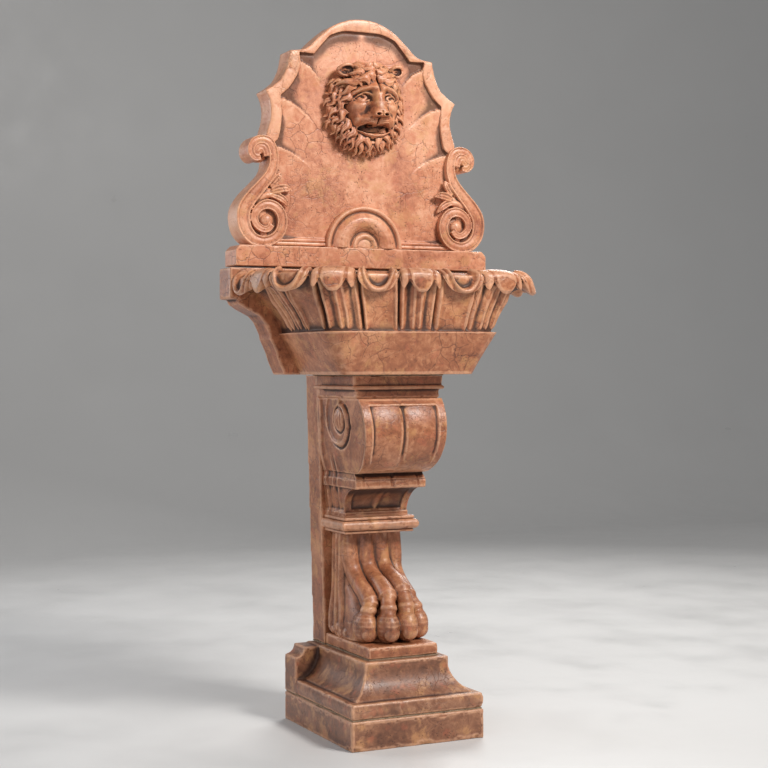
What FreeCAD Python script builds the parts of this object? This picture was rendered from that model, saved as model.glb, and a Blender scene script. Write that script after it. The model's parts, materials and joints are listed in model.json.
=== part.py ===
import FreeCAD, Part
import math
import os
import Sketcher
from FreeCAD import Placement, Rotation, Vector

# Garden wall fountain: a carved stone pedestal, basin and back panel.
# Millimetres. X runs to the right, the front faces -Y and Z is up.
# The origin lies on the floor under the middle of the base.

doc = FreeCAD.newDocument("garden_wall_fountain")
sheet = doc.addObject("Spreadsheet::Sheet", "Sizes")

SIZES = (
    # courses, from the floor up
    ("base_block_height", 73),
    ("bed", 3),
    ("moulding_height", 124),
    ("foot_height", 29),
    ("leg_height", 267),
    ("waist_height", 42),
    ("scroll_height", 305),
    ("cap_height", 57),
    ("basin_height", 270),
    ("ledge_bed_height", 5),
    ("ledge_height", 53),
    ("field_height", 596),
    # base
    ("base_width", 361),
    ("base_depth", 428),
    ("torus_height", 37),
    ("torus_swell", 4),
    ("fillet_inset", 24),
    ("fillet_rise", 4),
    ("cavetto_inset", 65),
    ("cavetto_rise", 60),
    ("board_thickness", 74),
    ("board_height", 95),
    ("board_scoop", 26),
    # pilaster slab behind the leg
    ("slab_thickness", 78),
    ("slab_foot_width", 198),
    ("slab_head_width", 234),
    # foot slab, paw and leg
    ("foot_width", 192),
    ("foot_depth", 344),
    ("foot_round", 5),
    ("leg_width", 164),
    ("leg_depth", 171),
    ("ankle_width", 152),
    ("ankle_depth", 176),
    ("paw_width", 206),
    ("paw_depth", 332),
    # waist moulding
    ("waist_width", 218),
    ("waist_depth", 219),
    ("waist_torus_height", 25),
    ("waist_inset", 11),
    # console scroll
    ("scroll_width", 232),
    ("scroll_depth", 367),
    ("scroll_top_depth", 318),
    ("neck_width", 192),
    ("neck_depth", 277),
    ("neck_foot_width", 180),
    ("neck_foot_depth", 191),
    ("neck_height", 112),
    ("neck_fillet_drop", 34),
    ("scroll_spread", 100),
    ("groove_width", 6),
    ("groove_depth", 6),
    ("side_band", 24),
    ("volute_radius", 52),
    ("volute_eye_radius", 30),
    ("volute_cut", 7),
    ("volute_depth", 210),
    ("volute_drop", 54),
    # cap
    ("cap_width", 255),
    ("cap_depth", 327),
    ("cap_inset", 11),
    ("cap_band_height", 34),
    # basin and its rear slab
    ("wall_gap", 47),
    ("rail_width", 748),
    ("rail_thickness", 81),
    ("rail_height", 78),
    ("rail_foot_width", 480),
    ("bowl_foot_width", 364),
    ("bowl_foot_depth", 385),
    ("band_height", 97),
    ("band_width", 480),
    ("band_depth", 425),
    ("rim_width", 720),
    ("rim_depth", 452),
    ("rim_underside", 200),
    ("rim_thickness", 52),
    ("lobe_swell", 10),
    ("bowl_floor", 70),
    ("bowl_floor_width", 330),
    ("bowl_floor_depth", 350),
    # back panel
    ("ledge_width", 716),
    ("panel_thickness", 70),
    ("border_width", 29),
    ("field_sink", 10),
    ("arch_radius", 168),
    ("arch_reach", 130),
    ("shoulder_width", 408),
    ("shoulder_drop", 95),
    ("ear_width", 544),
    ("ear_drop", 200),
    ("neck_in_width", 542),
    ("neck_in_drop", 314),
    ("small_volute_radius", 34),
    ("small_volute_reach", 293),
    ("small_volute_rise", 244),
    ("big_volute_radius", 54),
    ("big_volute_reach", 272),
    ("big_volute_rise", 64),
    ("scroll_band", 27),
    ("scroll_relief", 9),
    ("scroll_reach", 359),
    ("boss_radius", 108),
    ("boss_rim", 14),
    ("boss_relief", 16),
    ("boss_eye_radius", 31),
    # lion mask
    ("mask_width", 240),
    ("mask_height", 256),
    ("mask_rise", 366),
    ("mask_relief", 78),
    ("mouth_width", 46),
    ("mouth_height", 22),
    # pins between stones
    ("dowel_radius", 6),
    ("dowel_length", 80),
    ("dowel_clearance", 0.3),
    ("base_dowel_spacing", 220),
    ("leg_dowel_spacing", 100),
    ("basin_dowel_spacing", 160),
    ("panel_dowel_spacing", 520),
    ("mask_pin_radius", 5),
    ("mask_pin_length", 60),
    ("mask_pin_rise", 60),
    # staples that tie the pilaster slab to the leg
    ("staple_spacing", 170),
    ("staple_reach", 50),
    ("staple_width", 10),
    ("staple_thickness", 5),
    ("staple_leg", 28),
    # cramps to the wall
    ("cramp_width", 30),
    ("cramp_thickness", 4),
    ("cramp_plate_height", 70),
    ("cramp_grip", 28),
    ("cramp_turn", 14),
    ("panel_cramp_spacing", 320),
    ("panel_cramp_rise", 380),
    ("basin_cramp_spacing", 480),
    ("basin_cramp_rise", 225),
    ("screw_radius", 3),
    ("screw_spacing", 40),
    # waste
    ("drain_depth", 178),
    ("waste_flange_radius", 34),
    ("waste_flange_height", 4),
    ("waste_radius", 20),
    ("waste_bore", 14),
    ("waste_tail", 26),
    ("washer_height", 3),
    ("waste_nut_radius", 28),
    ("waste_nut_height", 11),
    ("pipe_radius", 16),
    ("pipe_wall", 1.5),
    ("pipe_bend", 45),
    ("pipe_depth", 106),
    ("pipe_offset_fall", 30),
    ("pipe_socket_reach", 28),
    ("socket_lip", 2),
    ("socket_wall", 3),
    ("chase_width", 46),
    ("overflow_height", 112),
    ("overflow_radius", 12),
    ("overflow_wall", 1.5),
    ("overflow_clearance", 0.3),
    ("plug_height", 22),
    # supply
    ("spout_radius", 7.5),
    ("spout_bore", 6),
    ("spout_length", 158),
    ("spout_rise", 318),
    ("spout_clearance", 0.4),
    ("spout_washer_radius", 17),
    ("spout_nut_radius", 14),
    ("spout_nut_height", 7),
    ("supply_socket_reach", 12),
)

for row, (alias, number) in enumerate(SIZES, 1):
    sheet.set("A%d" % row, alias)
    sheet.set("B%d" % row, str(number))
    sheet.setAlias("B%d" % row, alias)
doc.recompute()


class Reader:
    """Reads a size from the sheet by its alias."""

    def __getattr__(self, alias):
        return float(sheet.get(alias))


mm = Reader()

# The courses of the fountain and the size that gives each one its height.
COURSES = (
    ("base_block", "base_block_height"),
    ("base_bed", "bed"),
    ("moulding", "moulding_height"),
    ("leg_bed", "bed"),
    ("foot", "foot_height"),
    ("leg", "leg_height"),
    ("waist", "waist_height"),
    ("scroll", "scroll_height"),
    ("cap", "cap_height"),
    ("basin_bed", "bed"),
    ("basin", "basin_height"),
    ("ledge_bed", "ledge_bed_height"),
    ("ledge", "ledge_height"),
    ("field", "field_height"),
)
NAMES = [name for name, alias in COURSES]


def under(course, start="base_block"):
    """Height of a course's underside above the floor, or above another course's."""
    first = NAMES.index(start)
    last = NAMES.index(course)
    return sum(getattr(mm, alias) for name, alias in COURSES[first:last])


def under_formula(course):
    """The same height as a formula on the sheet."""
    below = ["Sizes." + alias for name, alias in COURSES[:NAMES.index(course)]]
    return " + ".join(below) if below else "0"


# The wall plane lies behind the origin by half the reach of the rim.
WALL = "(Sizes.rim_depth + Sizes.lobe_swell) / 2"


# Outlines. A place is (x, depth from the wall, height), and the wall is at y = 0.

def at(x, depth, height):
    return Vector(x, -depth, height)


def outline(start, *steps):
    """A closed wire. A step is a corner, or a pair: a place on an arc and its end."""
    edges = []
    here = start
    for step in steps:
        if len(step) == 2:
            via, end = step
            edges.append(Part.Arc(at(*here), at(*via), at(*end)).toShape())
        else:
            end = step
            edges.append(Part.LineSegment(at(*here), at(*end)).toShape())
        here = end
    if here != start:
        edges.append(Part.LineSegment(at(*here), at(*start)).toShape())
    return Part.Wire(edges)


def slab(wire, direction):
    return Part.Face(wire).extrude(direction)


def across(wire, width):
    """Extrude a side outline over a width that is centred on x = 0."""
    body = slab(wire, Vector(width, 0, 0))
    body.translate(Vector(-width / 2, 0, 0))
    return body


def forward(wire, thickness):
    """Extrude a front outline towards the front."""
    return slab(wire, Vector(0, -thickness, 0))


def block(x0, x1, depth0, depth1, height0, height1):
    size = (x1 - x0, depth1 - depth0, height1 - height0)
    return Part.makeBox(*size, Vector(x0, -depth1, height0))


def upright(radius, x, depth, height0, height1):
    return Part.makeCylinder(radius, height1 - height0, at(x, depth, height0))


def level(radius, x, height, depth0, depth1):
    """A cylinder that runs from the wall towards the front."""
    return Part.makeCylinder(radius, depth1 - depth0, at(x, depth0, height), Vector(0, -1, 0))


def hexagon(radius, x, height, depth0, depth1):
    corners = []
    for side in range(6):
        turn = math.radians(60 * side)
        corners.append((x + radius * math.cos(turn), depth0, height + radius * math.sin(turn)))
    return forward(outline(*corners), depth1 - depth0)


EGG_CHORDS = 6


def egg(centre, axis, long_radius, round_radius):
    """An egg-shaped swelling, turned about its axis from chords of an ellipse."""
    places = []
    for chord in range(EGG_CHORDS + 1):
        turn = math.pi * chord / EGG_CHORDS
        places.append(Vector(long_radius * math.cos(turn), round_radius * math.sin(turn), 0))
    face = Part.Face(Part.makePolygon(places + places[:1]))
    body = face.revolve(Vector(0, 0, 0), Vector(1, 0, 0), 360)
    body.Placement = Placement(centre, Rotation(Vector(1, 0, 0), axis))
    return body


# Document helpers.

PIECES = []


def piece(label, shape, course=None):
    """Keep a shape as a sub-part, standing on a course and against the wall plane."""
    feature = doc.addObject("Part::Feature", label)
    feature.Label = label
    feature.Shape = shape
    feature.setExpression("Placement.Base.y", WALL)
    if course:
        feature.setExpression("Placement.Base.z", under_formula(course))
    PIECES.append(feature)
    return feature


def body(label, course=None, depth="0", lift="0"):
    """A body that stands on a course, with its axis at a depth from the wall."""
    part_body = doc.addObject("PartDesign::Body", label)
    part_body.Label = label
    part_body.setExpression("Placement.Base.y", WALL + " - " + depth)
    if course:
        part_body.setExpression("Placement.Base.z", under_formula(course) + " + " + lift)
    PIECES.append(part_body)
    return part_body


def plane_of(part_body, role):
    for feature in part_body.Origin.OriginFeatures:
        if feature.Role == role:
            return feature
    raise ValueError("no plane " + role)


def sketch_on(part_body, name, role, lift=None):
    sketch = part_body.newObject("Sketcher::SketchObject", name)
    sketch.AttachmentSupport = [(plane_of(part_body, role), "")]
    sketch.MapMode = "FlatFace"
    if lift:
        sketch.setExpression("AttachmentOffset.Base.z", lift)
    return sketch


def corners_sketch(part_body, name, role, corners, lift=None):
    """A closed outline whose corners are pairs of formulas on the sheet."""
    sketch = sketch_on(part_body, name, role, lift)
    count = len(corners)
    rough = []
    for index in range(count):
        turn = 2 * math.pi * index / count
        rough.append(Vector(10 * math.cos(turn), 10 * math.sin(turn), 0))
    for index in range(count):
        sketch.addGeometry(Part.LineSegment(rough[index], rough[(index + 1) % count]), False)
    for index in range(count):
        sketch.addConstraint(Sketcher.Constraint("Coincident", index, 2, (index + 1) % count, 1))
    for index, (across_formula, up_formula) in enumerate(corners):
        place = rough[index]
        along = sketch.addConstraint(Sketcher.Constraint("DistanceX", -1, 1, index, 1, place.x))
        sketch.setExpression("Constraints[%d]" % along, across_formula)
        up = sketch.addConstraint(Sketcher.Constraint("DistanceY", -1, 1, index, 1, place.y))
        sketch.setExpression("Constraints[%d]" % up, up_formula)
    return sketch


def circles_sketch(part_body, name, role, circles, lift=None):
    """Circles whose centres and radii are formulas on the sheet."""
    sketch = sketch_on(part_body, name, role, lift)
    for index, (across_formula, up_formula, radius_formula) in enumerate(circles):
        centre = Vector(20 * index + 5, 5, 0)
        sketch.addGeometry(Part.Circle(centre, Vector(0, 0, 1), 3), False)
        along = sketch.addConstraint(Sketcher.Constraint("DistanceX", -1, 1, index, 3, centre.x))
        sketch.setExpression("Constraints[%d]" % along, across_formula)
        up = sketch.addConstraint(Sketcher.Constraint("DistanceY", -1, 1, index, 3, centre.y))
        sketch.setExpression("Constraints[%d]" % up, up_formula)
        wide = sketch.addConstraint(Sketcher.Constraint("Radius", index, 3.0))
        sketch.setExpression("Constraints[%d]" % wide, radius_formula)
    return sketch


def pad(part_body, name, sketch, length, reverse=False):
    feature = part_body.newObject("PartDesign::Pad", name)
    feature.Profile = sketch
    feature.setExpression("Length", length)
    feature.Reversed = reverse
    return feature


def pocket(part_body, name, sketch, length=None, reverse=False):
    feature = part_body.newObject("PartDesign::Pocket", name)
    feature.Profile = sketch
    if length:
        feature.setExpression("Length", length)
    else:
        feature.Type = "ThroughAll"
    feature.Reversed = reverse
    return feature


def revolution(part_body, name, sketch):
    feature = part_body.newObject("PartDesign::Revolution", name)
    feature.Profile = sketch
    feature.ReferenceAxis = (sketch, ["V_Axis"])
    feature.Angle = 360
    return feature


# Base block: a plain square block with the waste pipe's hole and two pin holes.

block_body = body("base_block")
half_base = "Sizes.base_width / 2"
square = (
    ("-" + half_base, "-Sizes.base_depth"),
    (half_base, "-Sizes.base_depth"),
    (half_base, "0"),
    ("-" + half_base, "0"),
)
block_plan = corners_sketch(block_body, "block_plan", "XY_Plane", square)
pad(block_body, "block", block_plan, "Sizes.base_block_height")
chase = circles_sketch(block_body, "pipe_hole_plan", "XY_Plane",
                       (("0", "-Sizes.pipe_depth", "Sizes.chase_width / 2"),))
pocket(block_body, "pipe_hole", chase, None, True)
pin_hole = "Sizes.dowel_radius + Sizes.dowel_clearance"
pins = (
    ("-Sizes.base_dowel_spacing / 2", "-Sizes.base_depth / 2", pin_hole),
    ("Sizes.base_dowel_spacing / 2", "-Sizes.base_depth / 2", pin_hole),
)
pin_plan = circles_sketch(block_body, "pin_plan", "XY_Plane", pins, "Sizes.base_block_height")
pocket(block_body, "pin_holes", pin_plan, "(Sizes.dowel_length - Sizes.bed) / 2")

# Shared places.
half_width = mm.base_width / 2
pin_radius = mm.dowel_radius + mm.dowel_clearance
pin_sink = (mm.dowel_length - mm.bed) / 2
chase_half = mm.chase_width / 2
base_pins = [(side * mm.base_dowel_spacing / 2, mm.base_depth / 2) for side in (-1, 1)]
leg_pin_depth = (mm.slab_thickness + mm.foot_depth) / 2
leg_pins = [(side * mm.leg_dowel_spacing / 2, leg_pin_depth) for side in (-1, 1)]
basin_pin_depth = mm.cap_depth - mm.cap_inset - mm.dowel_length / 2
basin_pins = [(side * mm.basin_dowel_spacing / 2, basin_pin_depth) for side in (-1, 1)]
rail_front = mm.wall_gap + mm.rail_thickness
rail_middle = mm.wall_gap + mm.panel_thickness / 2
panel_pins = [(side * mm.panel_dowel_spacing / 2, rail_middle) for side in (-1, 1)]


def pin_holes(places, height0, height1):
    return [upright(pin_radius, x, depth, height0, height1) for x, depth in places]


def pin_group(places, middle):
    half = mm.dowel_length / 2
    return Part.makeCompound(
        [upright(mm.dowel_radius, x, depth, middle - half, middle + half) for x, depth in places]
    )


def bed(outer, thickness, cuts):
    """A mortar bed: a plan outline with its holes, pulled up by its thickness."""
    layer = slab(outer, Vector(0, 0, thickness))
    return layer.cut(cuts) if cuts else layer


# Base moulding: one profile runs round the front and both sides with true mitres.

def moulding_steps(reach):
    """The moulding's edge, from the bottom up, at a distance from the middle or the wall."""
    top = mm.moulding_height
    torus_top = mm.torus_height
    fillet_top = torus_top + mm.fillet_rise
    flat = reach - mm.torus_swell
    inner = reach - mm.cavetto_inset
    cavetto_top = fillet_top + mm.cavetto_rise
    bulge = (reach - mm.fillet_inset * 0.4 - mm.cavetto_inset * 0.6, fillet_top + mm.cavetto_rise * 0.35)
    return (
        (flat, 0),
        ((reach, torus_top / 2), (flat, torus_top)),
        (reach - mm.fillet_inset, torus_top),
        (reach - mm.fillet_inset, fillet_top),
        (bulge, (inner, cavetto_top)),
        (inner, top),
    )


def side_steps(steps):
    """Profile steps as side-view places."""
    placed = []
    for step in steps:
        if isinstance(step[0], tuple):
            placed.append(tuple((0, reach, height) for reach, height in step))
        else:
            placed.append((0, step[0], step[1]))
    return placed


def front_steps(steps, side):
    """Profile steps as front-view places on one side."""
    placed = []
    for step in steps:
        if isinstance(step[0], tuple):
            placed.append(tuple((side * reach, 0, height) for reach, height in step))
        else:
            placed.append((side * step[0], 0, step[1]))
    return placed


def reversed_steps(start, steps):
    """The same path walked backwards: the new start and its steps."""
    ends = [start] + [step[-1] if len(step) == 2 else step for step in steps]
    back = []
    for index in range(len(steps) - 1, -1, -1):
        step = steps[index]
        end = ends[index]
        back.append((step[0], end) if len(step) == 2 else end)
    return ends[-1], back


def moulded(side_profile, front_profile, depth, width):
    """A block whose front and both sides carry a profile, mitred at the corners."""
    first, *rest = side_steps(side_profile)
    top = (0, 0, side_profile[-1][-1][-1] if isinstance(side_profile[-1][0], tuple) else side_profile[-1][1])
    long_body = across(outline((0, 0, first[2]), first, *rest, top), width + 2)
    right_first, *right = front_steps(front_profile, 1)
    left_first, *left = front_steps(front_profile, -1)
    left_top, down = reversed_steps(left_first, left)
    deep_body = forward(outline(right_first, *right, left_top, *down), depth + 2)
    return long_body.common(deep_body)


moulding = moulded(moulding_steps(mm.base_depth), moulding_steps(half_width), mm.base_depth, mm.base_width)
scoop_x = half_width - mm.board_scoop
scoop_top = mm.board_height + mm.board_scoop
scoop_bend = mm.board_scoop * (1 - math.sqrt(0.5))
board = forward(
    outline(
        (half_width, 0, 0),
        (half_width, 0, mm.board_height),
        ((scoop_x + scoop_bend, 0, mm.board_height + scoop_bend), (scoop_x, 0, scoop_top)),
        (-scoop_x, 0, scoop_top),
        ((-scoop_x - scoop_bend, 0, mm.board_height + scoop_bend), (-half_width, 0, mm.board_height)),
        (-half_width, 0, 0),
    ),
    mm.board_thickness,
)
moulding = moulding.fuse(board).cut(
    pin_holes(base_pins, 0, pin_sink)
    + pin_holes(leg_pins, mm.moulding_height - pin_sink, mm.moulding_height)
    + [upright(chase_half, 0, mm.pipe_depth, 0, mm.moulding_height)]
).removeSplitter()
piece("base_moulding", moulding, "moulding")

base_bed = bed(
    outline(
        (-half_width + mm.torus_swell, 0, 0),
        (half_width - mm.torus_swell, 0, 0),
        (half_width - mm.torus_swell, mm.base_depth - mm.torus_swell, 0),
        (-half_width + mm.torus_swell, mm.base_depth - mm.torus_swell, 0),
    ),
    mm.bed,
    pin_holes(base_pins, 0, mm.bed) + [upright(chase_half, 0, mm.pipe_depth, 0, mm.bed)],
)
piece("base_bed", base_bed, "base_bed")
piece("base_dowels", pin_group(base_pins, mm.bed / 2), "base_bed")

# Pilaster slab: wider at its head, and it closes the chase behind the leg.

slab_body = body("back_slab", "foot")
slab_courses = ("foot_height", "leg_height", "waist_height", "scroll_height", "cap_height")
slab_height = "(" + " + ".join("Sizes." + course for course in slab_courses) + ")"
taper = (
    ("-Sizes.slab_foot_width / 2", "0"),
    ("Sizes.slab_foot_width / 2", "0"),
    ("Sizes.slab_head_width / 2", slab_height),
    ("-Sizes.slab_head_width / 2", slab_height),
)
pilaster_face = corners_sketch(slab_body, "pilaster_face", "XZ_Plane", taper)
pad(slab_body, "pilaster", pilaster_face, "Sizes.slab_thickness")
staple_half = "(Sizes.staple_width / 2 + Sizes.dowel_clearance)"
for side in ("-", ""):
    middle = side + "Sizes.staple_spacing / 2"
    groove_plan = (
        (middle + " - " + staple_half, "-Sizes.slab_thickness"),
        (middle + " + " + staple_half, "-Sizes.slab_thickness"),
        (middle + " + " + staple_half, "-Sizes.slab_thickness + Sizes.staple_reach"),
        (middle + " - " + staple_half, "-Sizes.slab_thickness + Sizes.staple_reach"),
    )
    hand = "left" if side else "right"
    plan = corners_sketch(slab_body, hand + "_groove_plan", "XY_Plane", groove_plan, slab_height)
    pocket(slab_body, hand + "_groove", plan, "Sizes.staple_thickness")
    leg_plan = (
        (middle + " - " + staple_half, "-Sizes.slab_thickness + Sizes.staple_reach - Sizes.staple_width"),
        (middle + " + " + staple_half, "-Sizes.slab_thickness + Sizes.staple_reach - Sizes.staple_width"),
        (middle + " + " + staple_half, "-Sizes.slab_thickness + Sizes.staple_reach"),
        (middle + " - " + staple_half, "-Sizes.slab_thickness + Sizes.staple_reach"),
    )
    plan = corners_sketch(slab_body, hand + "_leg_plan", "XY_Plane", leg_plan, slab_height)
    pocket(slab_body, hand + "_leg_hole", plan, "Sizes.staple_leg")


# Staples, with their turned-down legs, lie flush in the tops of the slab and the leg.

def staple(x, grow):
    """A staple, grown a little sideways for the groove that takes it."""
    half = mm.staple_width / 2 + grow
    back = mm.slab_thickness - mm.staple_reach
    front = mm.slab_thickness + mm.staple_reach
    bar = block(x - half, x + half, back, front, -mm.staple_thickness, 0)
    rear = block(x - half, x + half, back, back + mm.staple_width, -mm.staple_leg, 0)
    fore = block(x - half, x + half, front - mm.staple_width, front, -mm.staple_leg, 0)
    return bar.fuse([rear, fore]).removeSplitter()


staple_places = [side * mm.staple_spacing / 2 for side in (-1, 1)]
piece("slab_staples", Part.makeCompound([staple(x, 0) for x in staple_places]), "basin_bed")


# Leg: foot slab, paw, fluted shank, waist moulding, scroll and cap, carved from one stone.

def shank_section(half, reach, swell, height):
    """A plan of the leg: two tendons a side and four across the front."""
    back = mm.slab_thickness / 2
    deep = reach - back
    knots = [
        (half, back),
        (half, back + deep * 0.42),
        (half * 0.94, back + deep * 0.78),
        (half * 0.50, back + deep * 0.97),
        (0, reach),
    ]
    knots += [(-x, depth) for x, depth in knots[-2::-1]]
    steps = []
    middle = (0, back + deep * 0.45)
    for (x0, depth0), (x1, depth1) in zip(knots, knots[1:]):
        mid_x = (x0 + x1) / 2
        mid_depth = (depth0 + depth1) / 2
        away = math.hypot(depth1 - depth0, x1 - x0)
        out_x = (depth1 - depth0) / away
        out_depth = -(x1 - x0) / away
        via = (mid_x + out_x * swell, mid_depth + out_depth * swell, height)
        steps.append((via, (x1, depth1, height)))
    return outline((half, back, height), *steps)


def leg_shape():
    """The fluted shank that spreads into the paw's four toes."""
    paw = mm.paw_width / 2
    ankle = mm.ankle_width / 2
    toe_reach = mm.paw_depth - mm.ankle_depth
    high = mm.leg_height
    sections = (
        (paw - 6, mm.paw_depth - 9, 12, 0),
        (paw, mm.paw_depth - 1, 15, 22),
        (paw - 1, mm.paw_depth - 4, 15, 48),
        (paw - 7, mm.paw_depth - toe_reach * 0.18, 12, 68),
        (ankle + 10, mm.paw_depth - toe_reach * 0.55, 9, 92),
        (ankle + 3, mm.ankle_depth + toe_reach * 0.16, 6, 114),
        (ankle, mm.ankle_depth, 4, 150),
        (mm.leg_width / 2, mm.leg_depth, 4, high),
    )
    return Part.makeLoft([shank_section(*section) for section in sections], True, True)


def waist_steps(reach):
    fillet = (mm.waist_height - mm.waist_torus_height) / 2
    inner = reach - mm.waist_inset
    flat = reach - mm.waist_inset / 2
    torus_top = fillet + mm.waist_torus_height
    return (
        (inner, 0),
        (inner, fillet),
        (flat, fillet),
        ((reach, mm.waist_height / 2), (flat, torus_top)),
        (inner + 2, torus_top),
        (inner + 2, mm.waist_height),
    )


def cap_steps(reach):
    band_foot = mm.cap_height - mm.cap_band_height
    lip = 8
    inner = reach - mm.cap_inset
    return (
        (inner, 0),
        (inner, band_foot),
        (reach, band_foot),
        (reach, band_foot + lip),
        (reach - 3, band_foot + lip + 2),
        (reach - 3, mm.cap_height),
    )


def scroll_side_steps():
    """The console's side view: fillet and cavetto of the neck, then the big round front."""
    neck_top = mm.neck_height
    fillet_foot = neck_top - mm.neck_fillet_drop
    fillet_top = neck_top - 13
    rise = mm.scroll_height - neck_top
    return (
        (mm.neck_foot_depth, 0),
        (mm.neck_foot_depth, 12),
        ((mm.neck_foot_depth + 22, fillet_foot - 26), (mm.neck_depth - 10, fillet_foot)),
        (mm.neck_depth, fillet_foot + 2),
        (mm.neck_depth, fillet_top),
        (mm.neck_depth - 12, neck_top),
        ((mm.scroll_depth, neck_top + rise * 0.53), (mm.scroll_top_depth, mm.scroll_height)),
    )


def scroll_front_steps():
    neck = mm.neck_width / 2
    wide = mm.scroll_width / 2
    return (
        (mm.neck_foot_width / 2, 0),
        (neck, mm.neck_height - mm.neck_fillet_drop),
        (neck, mm.neck_height),
        (wide, mm.neck_height + mm.scroll_spread),
        (wide, mm.scroll_height),
    )


def front_grooves(form, places):
    """Narrow strips of a form's front skin, to be cut away as grooves."""
    behind = form.copy()
    behind.translate(Vector(0, mm.groove_depth, 0))
    skin = form.cut(behind)
    half = mm.groove_width / 2
    deep = mm.scroll_depth
    cuts = []
    for x in places:
        strip = block(x - half, x + half, deep * 0.4, deep + 10, 0, mm.scroll_height)
        cuts.append(skin.common(strip))
    return cuts


foot_form = block(-mm.foot_width / 2, mm.foot_width / 2, mm.slab_thickness, mm.foot_depth, 0, mm.foot_height)
foot_edges = [
    edge for edge in foot_form.Edges
    if edge.BoundBox.ZMin > mm.foot_height - 1 and edge.BoundBox.YMin < -mm.slab_thickness - 1
]
foot_form = foot_form.makeFillet(mm.foot_round, foot_edges)

leg_form = leg_shape()
leg_form.translate(Vector(0, 0, under("leg", "foot")))
waist_form = moulded(
    waist_steps(mm.waist_depth), waist_steps(mm.waist_width / 2), mm.waist_depth, mm.waist_width
)
waist_form.translate(Vector(0, 0, under("waist", "foot")))
scroll_form = moulded(scroll_side_steps(), scroll_front_steps(), mm.scroll_depth, mm.scroll_width)
band_line = mm.neck_width / 2 - mm.side_band / 2
scroll_form = scroll_form.cut(front_grooves(scroll_form, (-band_line, 0, band_line)))
volute_height = mm.scroll_height - mm.volute_drop
for side in (-1, 1):
    face = side * mm.scroll_width / 2
    inward = Vector(-side, 0, 0)
    centre = at(face, mm.volute_depth, volute_height)
    sunk = Part.makeCylinder(mm.volute_radius, mm.volute_cut, centre, inward)
    eye = Part.makeCylinder(mm.volute_eye_radius, mm.volute_cut, centre, inward)
    scroll_form = scroll_form.cut(sunk.cut(eye))
scroll_form.translate(Vector(0, 0, under("scroll", "foot")))
cap_form = moulded(cap_steps(mm.cap_depth), cap_steps(mm.cap_width / 2), mm.cap_depth, mm.cap_width)
cap_form.translate(Vector(0, 0, under("cap", "foot")))

# The chase takes the waste pipe; its wider head takes the pipe's offset and the waste nut.
leg_top = under("basin_bed", "foot")
nut_room = mm.waste_nut_radius + 6
offset_top = leg_top - mm.waste_tail - 10
bend_drop = 2 * mm.pipe_bend * math.sin(math.pi / 4)
bend_shift = 2 * mm.pipe_bend * (1 - math.cos(math.pi / 4))
offset_fall = bend_drop + (mm.drain_depth - mm.pipe_depth - bend_shift)
chase_front = mm.pipe_depth + chase_half
head_foot = offset_top - offset_fall - mm.pipe_offset_fall
narrow_chase = block(-chase_half, chase_half, 0, chase_front, 0, leg_top)
wide_chase = block(-nut_room, nut_room, 0, mm.drain_depth + nut_room, head_foot, leg_top)

behind = block(-mm.cap_width, mm.cap_width, 0, mm.slab_thickness, 0, leg_top)
console = foot_form.fuse([leg_form, waist_form, scroll_form, cap_form])
console = console.cut([behind, narrow_chase, wide_chase])
staple_cuts = [staple(x, mm.dowel_clearance) for x in staple_places]
for cut in staple_cuts:
    cut.translate(Vector(0, 0, leg_top))
console = console.cut(
    staple_cuts
    + pin_holes(leg_pins, 0, pin_sink)
    + pin_holes(basin_pins, leg_top - pin_sink, leg_top)
)
piece("console_leg", console, "foot")

leg_bed = bed(
    outline(
        (-mm.slab_foot_width / 2, 0, 0),
        (mm.slab_foot_width / 2, 0, 0),
        (mm.slab_foot_width / 2, mm.slab_thickness, 0),
        (mm.foot_width / 2, mm.slab_thickness, 0),
        (mm.foot_width / 2, mm.foot_depth, 0),
        (-mm.foot_width / 2, mm.foot_depth, 0),
        (-mm.foot_width / 2, mm.slab_thickness, 0),
        (-mm.slab_foot_width / 2, mm.slab_thickness, 0),
    ),
    mm.bed,
    pin_holes(leg_pins, 0, mm.bed) + [upright(chase_half, 0, mm.pipe_depth, 0, mm.bed)],
)
piece("leg_bed", leg_bed, "leg_bed")
piece("leg_dowels", pin_group(leg_pins, mm.bed / 2), "leg_bed")

cap_half = mm.cap_width / 2 - 3
basin_bed = bed(
    outline(
        (-mm.slab_head_width / 2, mm.wall_gap, 0),
        (mm.slab_head_width / 2, mm.wall_gap, 0),
        (mm.slab_head_width / 2, mm.slab_thickness, 0),
        (cap_half, mm.slab_thickness, 0),
        (cap_half, mm.cap_depth - 3, 0),
        (-cap_half, mm.cap_depth - 3, 0),
        (-cap_half, mm.slab_thickness, 0),
        (-mm.slab_head_width / 2, mm.slab_thickness, 0),
    ),
    mm.bed,
    pin_holes(basin_pins, 0, mm.bed)
    + [block(-nut_room, nut_room, mm.slab_thickness, mm.drain_depth + nut_room, 0, mm.bed)],
)
piece("basin_bed", basin_bed, "basin_bed")
piece("basin_dowels", pin_group(basin_pins, mm.bed / 2), "basin_bed")


# Basin: eleven flutes rise from a plain band and curl out into the lobed rim.

LOBES = 11
ROUNDING = 5


def bowl_place(turn, half, front, back):
    """A place on the bowl's plan: a rounded rectangle with bowed sides."""
    share = 2 / ROUNDING
    cosine = math.cos(turn)
    x = math.copysign(abs(cosine) ** share, cosine) * half
    depth = back + (front - back) * math.sin(turn) ** share
    return x, depth


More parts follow.
